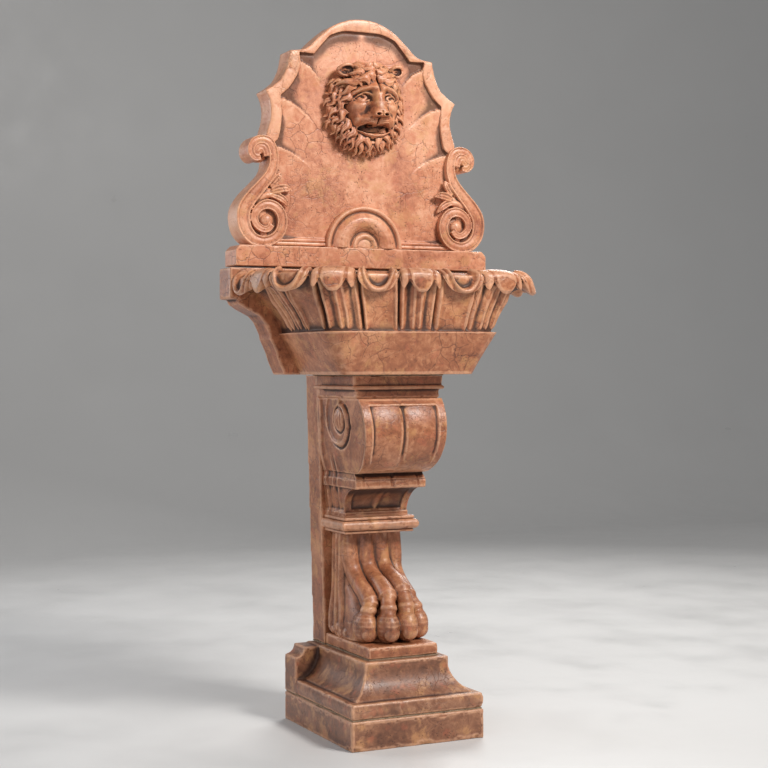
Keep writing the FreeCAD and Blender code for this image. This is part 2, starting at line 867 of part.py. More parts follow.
def bowl_knots(half, front, back):
    """Places that part the plan into equal lobes, with the middle of each lobe."""
    fine = 720
    run = [bowl_place(math.pi * step / fine, half, front, back) for step in range(fine + 1)]
    lengths = [0]
    for (x0, depth0), (x1, depth1) in zip(run, run[1:]):
        lengths.append(lengths[-1] + math.hypot(x1 - x0, depth1 - depth0))
    knots = []
    step = 0
    for count in range(2 * LOBES + 1):
        wanted = lengths[-1] * count / (2 * LOBES)
        while step < fine and lengths[step + 1] < wanted:
            step += 1
        gap = lengths[step + 1] - lengths[step] if step < fine else 1
        part = (wanted - lengths[step]) / gap if step < fine else 0
        x0, depth0 = run[step]
        x1, depth1 = run[min(step + 1, fine)]
        knots.append((x0 + (x1 - x0) * part, depth0 + (depth1 - depth0) * part))
    return knots


def bowl_section(height, half, front, back, swell):
    knots = bowl_knots(half, front, back)
    start = (half, back, height)
    steps = []
    for lobe in range(LOBES):
        x0, depth0 = knots[2 * lobe]
        mid_x, mid_depth = knots[2 * lobe + 1]
        x1, depth1 = knots[2 * lobe + 2]
        away = math.hypot(x1 - x0, depth1 - depth0)
        out_x = (depth1 - depth0) / away
        out_depth = -(x1 - x0) / away
        if lobe == LOBES - 1:
            x1, depth1 = -half, back
        via = (mid_x + out_x * swell, mid_depth + out_depth * swell, height)
        steps.append((via, (x1, depth1, height)))
    return outline(start, *steps)


def bowl_shape():
    """One loft up the outside, over the rim and down the inside to the floor."""
    band_half = mm.band_width / 2
    rim_half = mm.rim_width / 2
    fluted = mm.rim_underside - mm.band_height
    rim = mm.rim_thickness
    hidden = rail_front - mm.rail_thickness / 4
    inside = rail_front + 6
    profile = (
        (mm.band_height + 3, -0.06, 4),
        (mm.band_height + fluted * 0.45, 0.12, 5),
        (mm.band_height + fluted * 0.76, 0.34, 6),
        (mm.rim_underside - 5, 0.62, 7),
        (mm.rim_underside + 2, 0.92, mm.lobe_swell),
        (mm.rim_underside + rim * 0.45, 1.0, mm.lobe_swell),
        (mm.rim_underside + rim * 0.88, 0.90, mm.lobe_swell * 0.8),
        (mm.rim_underside + rim, 0.72, mm.lobe_swell * 0.5),
    )
    sections = [
        bowl_section(0, mm.bowl_foot_width / 2, mm.bowl_foot_depth, hidden, 0.5),
        bowl_section(mm.band_height, band_half, mm.band_depth, hidden, 0.5),
    ]
    for height, share, swell in profile:
        half = band_half + (rim_half - band_half) * share
        front = mm.band_depth + (mm.rim_depth - mm.band_depth) * share
        sections.append(bowl_section(height, half, front, hidden, swell))
    floor_half = mm.bowl_floor_width / 2
    sections += [
        bowl_section(mm.rim_underside + rim - 4, rim_half * 0.87, mm.rim_depth - 42, inside, 3),
        bowl_section(mm.rim_underside - 20, rim_half * 0.76, mm.rim_depth - 62, inside, 1),
        bowl_section(mm.bowl_floor + 16, floor_half + 14, mm.bowl_floor_depth + 14, inside, 0.5),
        bowl_section(mm.bowl_floor, floor_half, mm.bowl_floor_depth, inside, 0.5),
    ]
    return Part.makeLoft(sections, True, True)


def rear_slab_shape():
    """The rail and the cyma-edged slab behind the bowl."""
    foot = mm.rail_foot_width / 2
    rail = mm.rail_width / 2
    rail_foot = mm.basin_height - mm.rail_height
    curve_top = rail_foot - 4
    right = (
        (foot + 42, 0, rail_foot * 0.54),
        ((foot + 67, 0, rail_foot * 0.78), (rail - 19, 0, curve_top)),
        (rail - 19, 0, rail_foot),
        (rail, 0, rail_foot),
        (rail, 0, mm.basin_height),
    )
    left_top, down = reversed_steps((foot, 0, 0), right)
    mirror = []
    for step in down:
        if len(step) == 2:
            mirror.append(tuple((-x, depth, height) for x, depth, height in step))
        else:
            mirror.append((-step[0], step[1], step[2]))
    form = forward(outline((foot, 0, 0), *right, (-rail, 0, mm.basin_height), *mirror), mm.rail_thickness)
    form.translate(Vector(0, -mm.wall_gap, 0))
    return form


basin = rear_slab_shape().fuse(bowl_shape())
drain_hole = upright(mm.waste_radius + 0.5, 0, mm.drain_depth, 0, mm.bowl_floor)
drain_seat = upright(
    mm.waste_flange_radius + 0.5, 0, mm.drain_depth,
    mm.bowl_floor - mm.waste_flange_height - mm.washer_height, mm.bowl_floor,
)


def cramp(x, height, grip, grow):
    """A wall cramp: a plate on the wall, an arm, and an end turned down into the stone."""
    half = mm.cramp_width / 2 + grow
    thick = mm.cramp_thickness + 2 * grow
    plate_top = height + mm.cramp_thickness / 2
    plate = block(x - half, x + half, 0, mm.cramp_thickness, plate_top - mm.cramp_plate_height, plate_top)
    reach = mm.wall_gap + grip
    arm = block(x - half, x + half, 0, reach + grow, height - thick / 2, height + thick / 2)
    turn = block(x - half, x + half, reach - mm.cramp_thickness - grow, reach + grow,
                 height - mm.cramp_turn, height + thick / 2)
    holes = []
    middle = plate_top - mm.cramp_plate_height / 2
    for side in (-1, 1):
        centre = middle + side * mm.screw_spacing / 2 - mm.cramp_thickness
        holes.append(level(mm.screw_radius + 0.3, x, centre, -1, mm.cramp_thickness + 1))
    return plate.fuse([arm, turn]).cut(holes).removeSplitter()


def cramp_slot(x, height, grip, drop):
    """The slot in the back of a stone, open downwards so that the turned end drops in."""
    half = mm.cramp_width / 2 + mm.dowel_clearance
    reach = mm.wall_gap + grip + mm.dowel_clearance
    top = height + mm.cramp_thickness / 2 + mm.dowel_clearance
    return block(x - half, x + half, mm.wall_gap - 1, reach, height - drop, top)


basin_cramps = [side * mm.basin_cramp_spacing / 2 for side in (-1, 1)]
panel_cramps = [side * mm.panel_cramp_spacing / 2 for side in (-1, 1)]
drop = mm.cramp_turn + mm.dowel_clearance
basin = basin.cut(
    [drain_hole, drain_seat]
    + pin_holes(basin_pins, 0, pin_sink)
    + pin_holes(panel_pins, mm.basin_height - pin_sink, mm.basin_height)
    + [cramp_slot(x, mm.basin_cramp_rise, mm.cramp_grip, drop) for x in basin_cramps]
)
piece("basin", basin, "basin")
piece("basin_wall_cramps", Part.makeCompound(
    [cramp(x, mm.basin_cramp_rise, mm.cramp_grip, 0) for x in basin_cramps]), "basin")
ledge_pin_sink = mm.dowel_length / 2 - mm.ledge_bed_height / 2
open_joint = mm.ledge_width * 0.22
ledge_bed = bed(
    outline(
        (-mm.ledge_width / 2 + open_joint, mm.wall_gap, 0),
        (mm.ledge_width / 2 - 4, mm.wall_gap, 0),
        (mm.ledge_width / 2 - 4, mm.wall_gap + mm.panel_thickness - 3, 0),
        (-mm.ledge_width / 2 + open_joint, mm.wall_gap + mm.panel_thickness - 3, 0),
    ),
    mm.ledge_bed_height,
    pin_holes(panel_pins, 0, mm.ledge_bed_height),
)
piece("ledge_bed", ledge_bed, "ledge_bed")
piece("panel_dowels", pin_group(panel_pins, mm.ledge_bed_height / 2), "ledge_bed")


# Back panel: a cusped tablet with scrolls at its sides, on a long ledge.

def tablet_steps():
    """The tablet's right side, from its neck over the ear and shoulder to the arch."""
    top = mm.field_height
    shoulder = (mm.shoulder_width / 2, 0, top - mm.shoulder_drop)
    ear = (mm.ear_width / 2, 0, top - mm.ear_drop)
    neck = (mm.neck_in_width / 2, 0, top - mm.neck_in_drop)
    arch_foot = mm.arch_radius - math.sqrt(mm.arch_radius ** 2 - mm.arch_reach ** 2)
    arch_end = (mm.arch_reach, 0, top - arch_foot)
    scoop_low = ((ear[0] + neck[0]) / 2 - 15, 0, (ear[2] + neck[2]) / 2)
    scoop_high = ((ear[0] + shoulder[0]) / 2 - 15, 0, (ear[2] + shoulder[2]) / 2 - 16)
    flick = ((shoulder[0] + arch_end[0]) / 2 - 7, 0, (shoulder[2] + arch_end[2]) / 2 - 9)
    return neck, ((scoop_low, ear), (scoop_high, shoulder), (flick, arch_end))


def tablet_outline():
    neck, steps = tablet_steps()
    arch_end = steps[-1][-1]
    turned, back = reversed_steps(neck, steps)
    mirror = [tuple((-x, depth, height) for x, depth, height in step) for step in back]
    apex = (0, 0, mm.field_height)
    return outline(
        (neck[0], 0, 0), neck, *steps, (apex, (-arch_end[0], 0, arch_end[2])), *mirror, (-neck[0], 0, 0)
    )


def scroll_outline():
    """The band of the right-hand scroll, from the small volute down round the large one."""
    reach = mm.scroll_reach
    small_x, small_z = mm.small_volute_reach, mm.small_volute_rise
    big_x, big_z = mm.big_volute_reach, mm.big_volute_rise
    hip = (reach, 0, big_z + 15)
    waist = (small_x - 19, 0, small_z - mm.small_volute_radius + 2)
    inner_waist = (waist[0] - mm.scroll_band, 0, small_z - 4)
    return outline(
        (big_x + 16, 0, 2),
        ((reach - 15, 0, big_z * 0.46), hip),
        ((reach - 14, 0, hip[2] + 44), (reach - 50, 0, hip[2] + 82)),
        ((waist[0] + 10, 0, waist[2] - 30), waist),
        inner_waist,
        ((inner_waist[0], 0, small_z - 40), (inner_waist[0] + 19, 0, small_z - 78)),
        ((reach - 58, 0, big_z + 72), (reach - 42, 0, big_z + 16)),
        (big_x, 0, big_z),
    )


def scroll_forms(thickness):
    """The scroll's band and its two volutes, on both sides."""
    small = level(mm.small_volute_radius, mm.small_volute_reach, mm.small_volute_rise, 0, thickness)
    big = level(mm.big_volute_radius + 8, mm.big_volute_reach, mm.big_volute_rise, 0, thickness)
    right = forward(scroll_outline(), thickness).fuse([small, big]).removeSplitter()
    left = right.mirror(Vector(0, 0, 0), Vector(1, 0, 0))
    return [right, left]


def boss_form(depth):
    """Half of a turned boss: a rim, a swelling ring and a small disc in the middle."""
    rim = mm.boss_radius - mm.boss_rim
    relief = mm.boss_relief
    eye = mm.boss_eye_radius
    profile = outline(
        (0, depth - 2, 0),
        (mm.boss_radius, depth - 2, 0),
        (mm.boss_radius, depth + relief * 0.8, 0),
        ((mm.boss_radius - mm.boss_rim / 2, depth + relief, 0), (rim, depth + relief * 0.8, 0)),
        (rim, depth + relief * 0.4, 0),
        (((rim + eye) / 2, depth + relief * 0.85, 0), (eye + 6, depth + relief * 0.5, 0)),
        (eye, depth + relief * 0.3, 0),
        (eye, depth + relief * 0.6, 0),
        (0, depth + relief * 0.9, 0),
    )
    return Part.Face(profile).revolve(Vector(0, 0, 0), Vector(0, 1, 0), -180)


back_depth = mm.wall_gap
front_depth = back_depth + mm.panel_thickness
field_depth = front_depth - mm.field_sink
tablet = forward(tablet_outline(), mm.panel_thickness)
field = Part.Face(tablet_outline()).makeOffset2D(-mm.border_width).extrude(Vector(0, -mm.field_sink - 1, 0))
field.translate(Vector(0, -(mm.panel_thickness - mm.field_sink), 0))
tablet = tablet.cut(field)
tablet = tablet.fuse(scroll_forms(mm.panel_thickness + mm.scroll_relief))
tablet.translate(Vector(0, -back_depth, 0))
floor_cut = block(-mm.ledge_width, mm.ledge_width, 0, 2 * front_depth, -mm.ledge_width, 0)
tablet = tablet.cut(floor_cut).fuse(boss_form(field_depth))
tablet.translate(Vector(0, 0, mm.ledge_height))
ledge = block(
    -mm.ledge_width / 2, mm.ledge_width / 2, back_depth, front_depth, 0, mm.ledge_height
)
spout_hole_rise = mm.ledge_height + mm.spout_rise
mask_centre = mm.ledge_height + mm.mask_rise
spout_hole = level(mm.spout_radius + mm.spout_clearance, 0, spout_hole_rise, 0, front_depth)
mask_pin_height = mask_centre + mm.mask_pin_rise
mask_pin_start = field_depth - mm.mask_pin_length / 2
mask_pin_end = field_depth + mm.mask_pin_length / 2
mask_pin_hole = level(
    mm.mask_pin_radius + mm.dowel_clearance, 0, mask_pin_height, mask_pin_start, mask_pin_end
)
panel = tablet.fuse(ledge).removeSplitter().cut(
    [spout_hole, mask_pin_hole]
    + pin_holes(panel_pins, 0, ledge_pin_sink)
    + [cramp_slot(x, mm.panel_cramp_rise, mm.cramp_grip, drop) for x in panel_cramps]
)
piece("back_panel", panel, "ledge")
piece("panel_wall_cramps", Part.makeCompound(
    [cramp(x, mm.panel_cramp_rise, mm.cramp_grip, 0) for x in panel_cramps]), "ledge")
piece("mask_pin", level(mm.mask_pin_radius, 0, mask_pin_height, mask_pin_start, mask_pin_end), "ledge")


# Lion mask: a mane of locks round a face with brow, muzzle, nose, chin and ears.

LOCKS = 15


def mane_section(depth, share, swell):
    """A ring of rounded locks, a share of the mask's full size."""
    half = mm.mask_width / 2 * share
    high = mm.mask_height / 2 * share
    knots = []
    for lock in range(LOCKS):
        turn = 2 * math.pi * (lock + 0.5) / LOCKS + math.pi / 2
        knots.append((half * math.cos(turn), high * math.sin(turn)))
    steps = []
    for lock in range(LOCKS):
        x0, z0 = knots[lock]
        x1, z1 = knots[(lock + 1) % LOCKS]
        mid_x, mid_z = (x0 + x1) / 2, (z0 + z1) / 2
        grow = 1 + swell / math.hypot(mid_x, mid_z)
        steps.append(((mid_x * grow, depth, mid_z * grow), (x1, depth, z1)))
    return outline((knots[0][0], depth, knots[0][1]), *steps)


def mask_form():
    back = field_depth
    relief = mm.mask_relief
    mane = Part.makeLoft([
        mane_section(back, 0.84, 9),
        mane_section(back + relief * 0.22, 0.92, 12),
        mane_section(back + relief * 0.42, 0.84, 12),
        mane_section(back + relief * 0.56, 0.66, 10),
        mane_section(back + relief * 0.62, 0.44, 4),
    ], True, True)
    front = Vector(0, -1, 0)
    upward = Vector(0, 0, 1)
    half = mm.mask_width / 2
    high = mm.mask_height / 2
    brow_depth = back + relief * 0.50
    eye_depth = back + relief * 0.66
    features = [
        egg(at(0, back + relief * 0.46, high * 0.10), upward, high * 0.60, half * 0.43),
        egg(at(0, brow_depth, -high * 0.18), front, relief * 0.50, half * 0.27),
        egg(at(-half * 0.13, brow_depth, -high * 0.26), front, relief * 0.44, half * 0.22),
        egg(at(half * 0.13, brow_depth, -high * 0.26), front, relief * 0.44, half * 0.22),
        egg(at(0, back + relief * 0.55, -high * 0.54), Vector(1, 0, 0), half * 0.22, high * 0.11),
        egg(at(-half * 0.27, eye_depth, high * 0.16), Vector(1, 0, 0.35), half * 0.19, high * 0.09),
        egg(at(half * 0.27, eye_depth, high * 0.16), Vector(1, 0, -0.35), half * 0.19, high * 0.09),
        egg(at(-half * 0.56, back + relief * 0.48, high * 0.62), Vector(-1, 0, 1), half * 0.20, half * 0.13),
        egg(at(half * 0.56, back + relief * 0.48, high * 0.62), Vector(1, 0, 1), half * 0.20, half * 0.13),
    ]
    form = mane.fuse(features)
    mouth_foot = mm.spout_rise - mm.mask_rise - mm.mouth_height * 0.6
    mouth = block(
        -mm.mouth_width / 2, mm.mouth_width / 2, back + relief * 0.42, back + relief * 2,
        mouth_foot, mouth_foot + mm.mouth_height,
    )
    behind_mask = block(-2 * half, 2 * half, 0, back, -2 * high, 2 * high)
    form = form.cut([mouth, behind_mask])
    form.translate(Vector(0, 0, mask_centre))
    return form.cut([
        level(mm.spout_radius + mm.spout_clearance, 0, spout_hole_rise, back - 1, back + relief),
        mask_pin_hole,
    ])


piece("lion_mask", mask_form(), "ledge")


# Waste: flanged body through the bowl's floor, its seal, washer and nut, and the pipe below.

def ring_body(label, outer, inner, low, high, course="basin", depth="Sizes.drain_depth"):
    """A turned ring on an upright axis, given by formulas."""
    part_body = body(label, course, depth)
    corners = ((inner, low), (outer, low), (outer, high), (inner, high))
    section = corners_sketch(part_body, label + "_outline", "XZ_Plane", corners)
    revolution(part_body, label + "_turned", section)
    return part_body


seat_foot = "Sizes.bowl_floor - Sizes.waste_flange_height - Sizes.washer_height"
seal_top = "Sizes.bowl_floor - Sizes.waste_flange_height"
waste_body = body("waste_body", "basin", "Sizes.drain_depth")
seat_reach = "Sizes.waste_bore + Sizes.plug_height / 5"
waste_corners = (
    ("Sizes.waste_bore", "-Sizes.waste_tail"),
    ("Sizes.waste_radius", "-Sizes.waste_tail"),
    ("Sizes.waste_radius", seal_top),
    ("Sizes.waste_flange_radius", seal_top),
    ("Sizes.waste_flange_radius", "Sizes.bowl_floor"),
    (seat_reach, "Sizes.bowl_floor"),
    ("Sizes.waste_bore", "Sizes.bowl_floor - Sizes.plug_height"),
)
waste_section = corners_sketch(waste_body, "waste_outline", "XZ_Plane", waste_corners)
revolution(waste_body, "waste_turned", waste_section)
tail_fit = "Sizes.waste_radius + Sizes.dowel_clearance"
ring_body("waste_seal", "Sizes.waste_flange_radius", tail_fit, seat_foot, seal_top)
ring_body("waste_washer", "Sizes.waste_nut_radius", tail_fit, "-Sizes.washer_height", "0")

nut_top = -mm.washer_height
nut_corners = []
for side in range(6):
    turn = math.radians(60 * side)
    nut_x = mm.waste_nut_radius * math.cos(turn)
    nut_depth = mm.drain_depth + mm.waste_nut_radius * math.sin(turn)
    nut_corners.append((nut_x, nut_depth, nut_top))
waste_nut = slab(outline(*nut_corners), Vector(0, 0, -mm.waste_nut_height))
waste_nut = waste_nut.cut(
    upright(mm.waste_radius + mm.dowel_clearance, 0, mm.drain_depth, nut_top - mm.waste_nut_height, nut_top)
)
piece("waste_nut", waste_nut, "basin")


def waste_path():
    """Down from the drain, back through two eighth bends, and down to the floor."""
    radius = mm.pipe_bend
    lean = math.sin(math.pi / 4)
    half_cos, half_sin = math.cos(math.pi / 8), math.sin(math.pi / 8)
    start = -mm.waste_tail
    first = start - 10
    slope = mm.drain_depth - mm.pipe_depth - 2 * radius * (1 - lean)
    last = first - 2 * radius * lean - slope
    near = mm.drain_depth - radius
    far = mm.pipe_depth + radius
    places = (
        (0, mm.drain_depth, start),
        (0, mm.drain_depth, first),
        ((0, near + radius * half_cos, first - radius * half_sin),
         (0, near + radius * lean, first - radius * lean)),
        (0, far - radius * lean, last + radius * lean),
        ((0, far - radius * half_cos, last + radius * half_sin), (0, mm.pipe_depth, last)),
        (0, mm.pipe_depth, mm.pipe_socket_reach + mm.socket_lip - under("basin")),
    )
    edges = []
    here = places[0]
    for place in places[1:]:
        if len(place) == 2:
            via, end = place
            edges.append(Part.Arc(at(*here), at(*via), at(*end)).toShape())
        else:
            end = place
            edges.append(Part.LineSegment(at(*here), at(*end)).toShape())
        here = end
    return Part.Wire(edges)


def swept(path, radius):
    start = path.Vertexes[0].Point
    rim = Part.Wire([Part.makeCircle(radius, start, Vector(0, 0, 1))])
    return path.makePipeShell([rim], True, False)


waste_run = waste_path()
waste_pipe = swept(waste_run, mm.pipe_radius).cut(swept(waste_run, mm.pipe_radius - mm.pipe_wall))
piece("waste_pipe", waste_pipe, "basin")


def socket_corners(reach, pipe, bore, sign):
    """Half of a socket's section: room for a pipe from each end, and a lip between them."""
    inner = pipe + " + Sizes.dowel_clearance"
    outer = inner + " + Sizes.socket_wall"
    past = "(" + reach + " + Sizes.socket_lip)"
    end = "(2 * " + reach + " + Sizes.socket_lip)"
    return (
        (inner, "0"),
        (outer, "0"),
        (outer, sign + end),
        (inner, sign + end),
        (inner, sign + past),
        (bore, sign + past),
        (bore, sign + reach),
        (inner, sign + reach),
    )


waste_socket = body("waste_socket", "base_block", "Sizes.pipe_depth")
waste_socket_section = socket_corners(
    "Sizes.pipe_socket_reach", "Sizes.pipe_radius", "Sizes.pipe_radius - Sizes.pipe_wall", ""
)
revolution(waste_socket, "waste_socket_turned",
           corners_sketch(waste_socket, "waste_socket_outline", "XZ_Plane", waste_socket_section))


# Overflow: a standpipe with a tapered plug that drops into the waste and lifts out.

overflow_pipe = body("overflow_pipe", "basin", "Sizes.drain_depth")
overflow_bore = "Sizes.overflow_radius - Sizes.overflow_wall"
overflow_top = "Sizes.bowl_floor + Sizes.overflow_height"
plug_foot = "Sizes.bowl_floor - Sizes.plug_height + Sizes.overflow_clearance"
overflow_corners = (
    (overflow_bore, plug_foot),
    ("Sizes.waste_bore - Sizes.overflow_clearance", plug_foot),
    (seat_reach + " - Sizes.overflow_clearance", "Sizes.bowl_floor"),
    (seat_reach + " - Sizes.overflow_clearance", "Sizes.bowl_floor + Sizes.plug_height / 4"),
    ("Sizes.overflow_radius", "Sizes.bowl_floor + Sizes.plug_height / 2"),
    ("Sizes.overflow_radius", overflow_top),
    (overflow_bore, overflow_top),
)
revolution(overflow_pipe, "overflow_turned",
           corners_sketch(overflow_pipe, "overflow_outline", "XZ_Plane", overflow_corners))

STRAINER_SLOTS = 6
strainer_foot = mm.bowl_floor + mm.overflow_height
strainer_outer = mm.overflow_radius + 3
strainer_profile = outline(
    (mm.overflow_radius, 0, strainer_foot - 8),
    (strainer_outer, 0, strainer_foot - 8),
    (strainer_outer, 0, strainer_foot + 10),
    ((strainer_outer * 0.71, 0, strainer_foot + 16), (0, 0, strainer_foot + 18)),
    (0, 0, strainer_foot + 16),
    ((mm.overflow_radius * 0.71, 0, strainer_foot + 14), (mm.overflow_radius - 1, 0, strainer_foot + 9)),
    (mm.overflow_radius - 1, 0, strainer_foot),
    (mm.overflow_radius, 0, strainer_foot),
)
strainer = Part.Face(strainer_profile).revolve(Vector(0, 0, 0), Vector(0, 0, 1), 360)
strainer.translate(Vector(0, -mm.drain_depth, 0))
slots = []
for count in range(STRAINER_SLOTS):
    slot = block(-2, 2, strainer_outer / 3, strainer_outer + 2, strainer_foot + 2, strainer_foot + 10)
    slot.rotate(Vector(0, 0, 0), Vector(0, 0, 1), 360 / STRAINER_SLOTS * count)
    slot.translate(Vector(0, -mm.drain_depth, 0))
    slots.append(slot)
piece("overflow_strainer", strainer.cut(slots), "basin")


# Supply: the spout tube, clamped through the panel and joined at the wall.

tube_start = mm.supply_socket_reach + mm.socket_lip
spout_tube = level(mm.spout_radius, 0, spout_hole_rise, tube_start, mm.spout_length).cut(
    level(mm.spout_bore, 0, spout_hole_rise, 0, mm.spout_length + 1)
)
piece("spout_tube", spout_tube, "ledge")
washer_front = back_depth
washer_back = back_depth - mm.washer_height
spout_washer = level(mm.spout_washer_radius, 0, spout_hole_rise, washer_back, washer_front).cut(
    level(mm.spout_radius + mm.dowel_clearance, 0, spout_hole_rise, washer_back - 1, washer_front + 1)
)
piece("spout_washer", spout_washer, "ledge")
nut_back = washer_back - mm.spout_nut_height
spout_nut = hexagon(mm.spout_nut_radius, 0, spout_hole_rise, nut_back, washer_back).cut(
    level(mm.spout_radius + mm.dowel_clearance, 0, spout_hole_rise, nut_back - 1, washer_back + 1)
)
piece("spout_nut", spout_nut, "ledge")
supply_socket = body("supply_socket", "field", "0", "Sizes.spout_rise")
supply_section = socket_corners("Sizes.supply_socket_reach", "Sizes.spout_radius", "Sizes.spout_bore", "-")
revolution(supply_socket, "supply_socket_turned",
           corners_sketch(supply_socket, "supply_socket_outline", "XY_Plane", supply_section))


# Check every object, then write each sub-part to its own file.

doc.recompute()
for thing in doc.Objects:
    if "Invalid" in thing.State or "Error" in thing.State:
        raise RuntimeError("failed: " + thing.Label)
for item in PIECES:
    if item.Shape.isNull() or not item.Shape.isValid() or item.Shape.Volume <= 0:
        raise RuntimeError("bad shape: " + item.Label)
os.makedirs("parts", exist_ok=True)
for item in PIECES:
    item.Shape.exportStep("parts/%s.step" % item.Label)
    print(item.Label, round(item.Shape.Volume / 1000, 1), "cm3", len(item.Shape.Solids), "solids")
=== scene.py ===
import json
import math

import bpy
import numpy as np
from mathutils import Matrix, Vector, noise


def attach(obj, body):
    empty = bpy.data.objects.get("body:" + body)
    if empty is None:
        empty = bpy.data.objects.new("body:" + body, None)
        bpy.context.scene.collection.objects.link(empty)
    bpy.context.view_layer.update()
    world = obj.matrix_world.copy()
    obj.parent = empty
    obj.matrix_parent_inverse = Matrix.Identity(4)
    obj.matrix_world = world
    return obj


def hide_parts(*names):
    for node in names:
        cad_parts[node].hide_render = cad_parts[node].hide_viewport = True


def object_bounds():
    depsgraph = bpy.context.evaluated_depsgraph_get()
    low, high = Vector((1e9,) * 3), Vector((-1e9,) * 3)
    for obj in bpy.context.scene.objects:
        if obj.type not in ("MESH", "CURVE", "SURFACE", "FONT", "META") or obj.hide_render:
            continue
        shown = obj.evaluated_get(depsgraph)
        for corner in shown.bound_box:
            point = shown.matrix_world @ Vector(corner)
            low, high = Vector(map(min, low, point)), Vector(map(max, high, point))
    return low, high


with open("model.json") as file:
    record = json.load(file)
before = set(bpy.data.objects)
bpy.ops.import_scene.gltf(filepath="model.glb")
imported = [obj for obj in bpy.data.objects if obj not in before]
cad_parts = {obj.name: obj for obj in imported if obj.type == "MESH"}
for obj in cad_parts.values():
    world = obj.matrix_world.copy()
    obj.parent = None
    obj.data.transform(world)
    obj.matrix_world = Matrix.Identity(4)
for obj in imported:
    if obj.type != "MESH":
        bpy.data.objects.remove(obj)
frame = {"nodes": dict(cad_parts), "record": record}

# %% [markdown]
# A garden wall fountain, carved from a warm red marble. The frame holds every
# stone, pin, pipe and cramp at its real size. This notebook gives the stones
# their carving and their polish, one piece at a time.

MM = 0.001
stand_off = 47.0
rail_front = 128.0
ledge_top = 1234.0
frame_low, frame_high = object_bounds()
wall_y = frame_high.y

# %% [markdown]
# Every place below is written as the mason would measure it, in millimetres:
# to the right of the middle, out from the wall, and up from the floor. One
# helper turns such a place into the frame's metres. The upper stones stand off
# the wall, and the rail and the ledge share one front.

# %% Places and selections


def place(across, out, up):
    """Metres in the frame from millimetres right, out from the wall, and up."""
    return Vector((across * MM, wall_y - out * MM, up * MM))


def pick_none():
    bpy.ops.object.select_all(action="DESELECT")
    bpy.context.view_layer.objects.active = None


def pick(*things):
    """Select these objects alone and make the first one active."""
    pick_none()
    for thing in things:
        thing.select_set(True)
    bpy.context.view_layer.objects.active = things[0]


def apply_modifier(thing, kind, **settings):
    """Add one modifier, set it and apply it."""
    pick(thing)
    modifier = thing.modifiers.new(kind.lower(), kind)
    for name, value in settings.items():
        setattr(modifier, name, value)
    bpy.ops.object.modifier_apply(modifier=modifier.name)
    return thing


def mesh_piece(name, corners, faces):
    """A mesh from worked-out corners and faces."""
    mesh = bpy.data.meshes.new(name)
    mesh.from_pydata(corners, [], faces)
    mesh.update()
    thing = bpy.data.objects.new(name, mesh)
    bpy.context.scene.collection.objects.link(thing)
    return thing


bpy.context.scene.cursor.location = (0, 0, 0)
print("helpers ready")

# %% [markdown]
# The camera stands low and to the left, on a long lens, so that upright edges
# stay upright. The lamps are large and soft. The floor is plain and pale, and
# it sweeps up behind the fountain so that no horizon shows.

# %% Camera, lamps and floor
camera_data = bpy.data.cameras.new("camera")
camera_data.lens = 74.77
camera_data.sensor_width = 36
camera = bpy.data.objects.new("camera", camera_data)
camera.location = place(-1751.9, 3898.4, 927.4)
camera.rotation_euler = (math.radians(90 - 0.65), math.radians(0.24), math.radians(-25.57))
bpy.context.scene.collection.objects.link(camera)
bpy.context.scene.camera = camera


def lamp(name, where, target, size, power, tint):
    """A square soft lamp that faces a target."""
    data = bpy.data.lights.new(name, "AREA")
    data.size = size
    data.energy = power
    data.color = tint
    thing = bpy.data.objects.new(name, data)
    thing.location = where
    thing.rotation_euler = (Vector(target) - Vector(where)).to_track_quat("-Z", "Y").to_euler()
    bpy.context.scene.collection.objects.link(thing)
    return thing


aim = (0, 0, 1.0)
lamp("key_lamp", (1.5, -3.2, 3.8), aim, 1.2, 215, (1.0, 0.97, 0.93))
lamp("fill_lamp", (-3.0, -2.6, 1.8), aim, 2.4, 34, (0.93, 0.96, 1.0))
lamp("rim_lamp", (2.0, 2.2, 2.6), aim, 1.6, 60, (1.0, 0.98, 0.95))
lamp("back_lamp", (-2.4, 2.4, 1.8), aim, 1.8, 40, (0.95, 0.97, 1.0))

world = bpy.data.worlds.new("studio")
bpy.context.scene.world = world
world.use_nodes = True
world.node_tree.nodes["Background"].inputs["Color"].default_value = (0.83, 0.83, 0.83, 1)
world.node_tree.nodes["Background"].inputs["Strength"].default_value = 0.28
bpy.context.scene.view_settings.view_transform = "Standard"

bend = [(4.0 + 2.5 * math.sin(t), 2.5 - 2.5 * math.cos(t)) for t in np.linspace(0, math.pi / 2, 17)]
sweep = [(-12.0, 0.0)] + bend + [(6.5, 12.0)]
floor = mesh_piece("studio_floor", [(x, y, z) for y, z in sweep for x in (-16, 16)],
                   [(2 * row, 2 * row + 1, 2 * row + 3, 2 * row + 2) for row in range(len(sweep) - 1)])
floor.data.polygons.foreach_set("use_smooth", [True] * len(floor.data.polygons))
print("camera at", [round(value, 3) for value in camera.location])

# %% [markdown]
# A shader is easier to read as a sum than as a web of boxes. One small class
# wraps a socket, so that noise * 0.5 + 0.2 adds its own Math nodes, and one
# method makes every other node.

# %% Shader maths


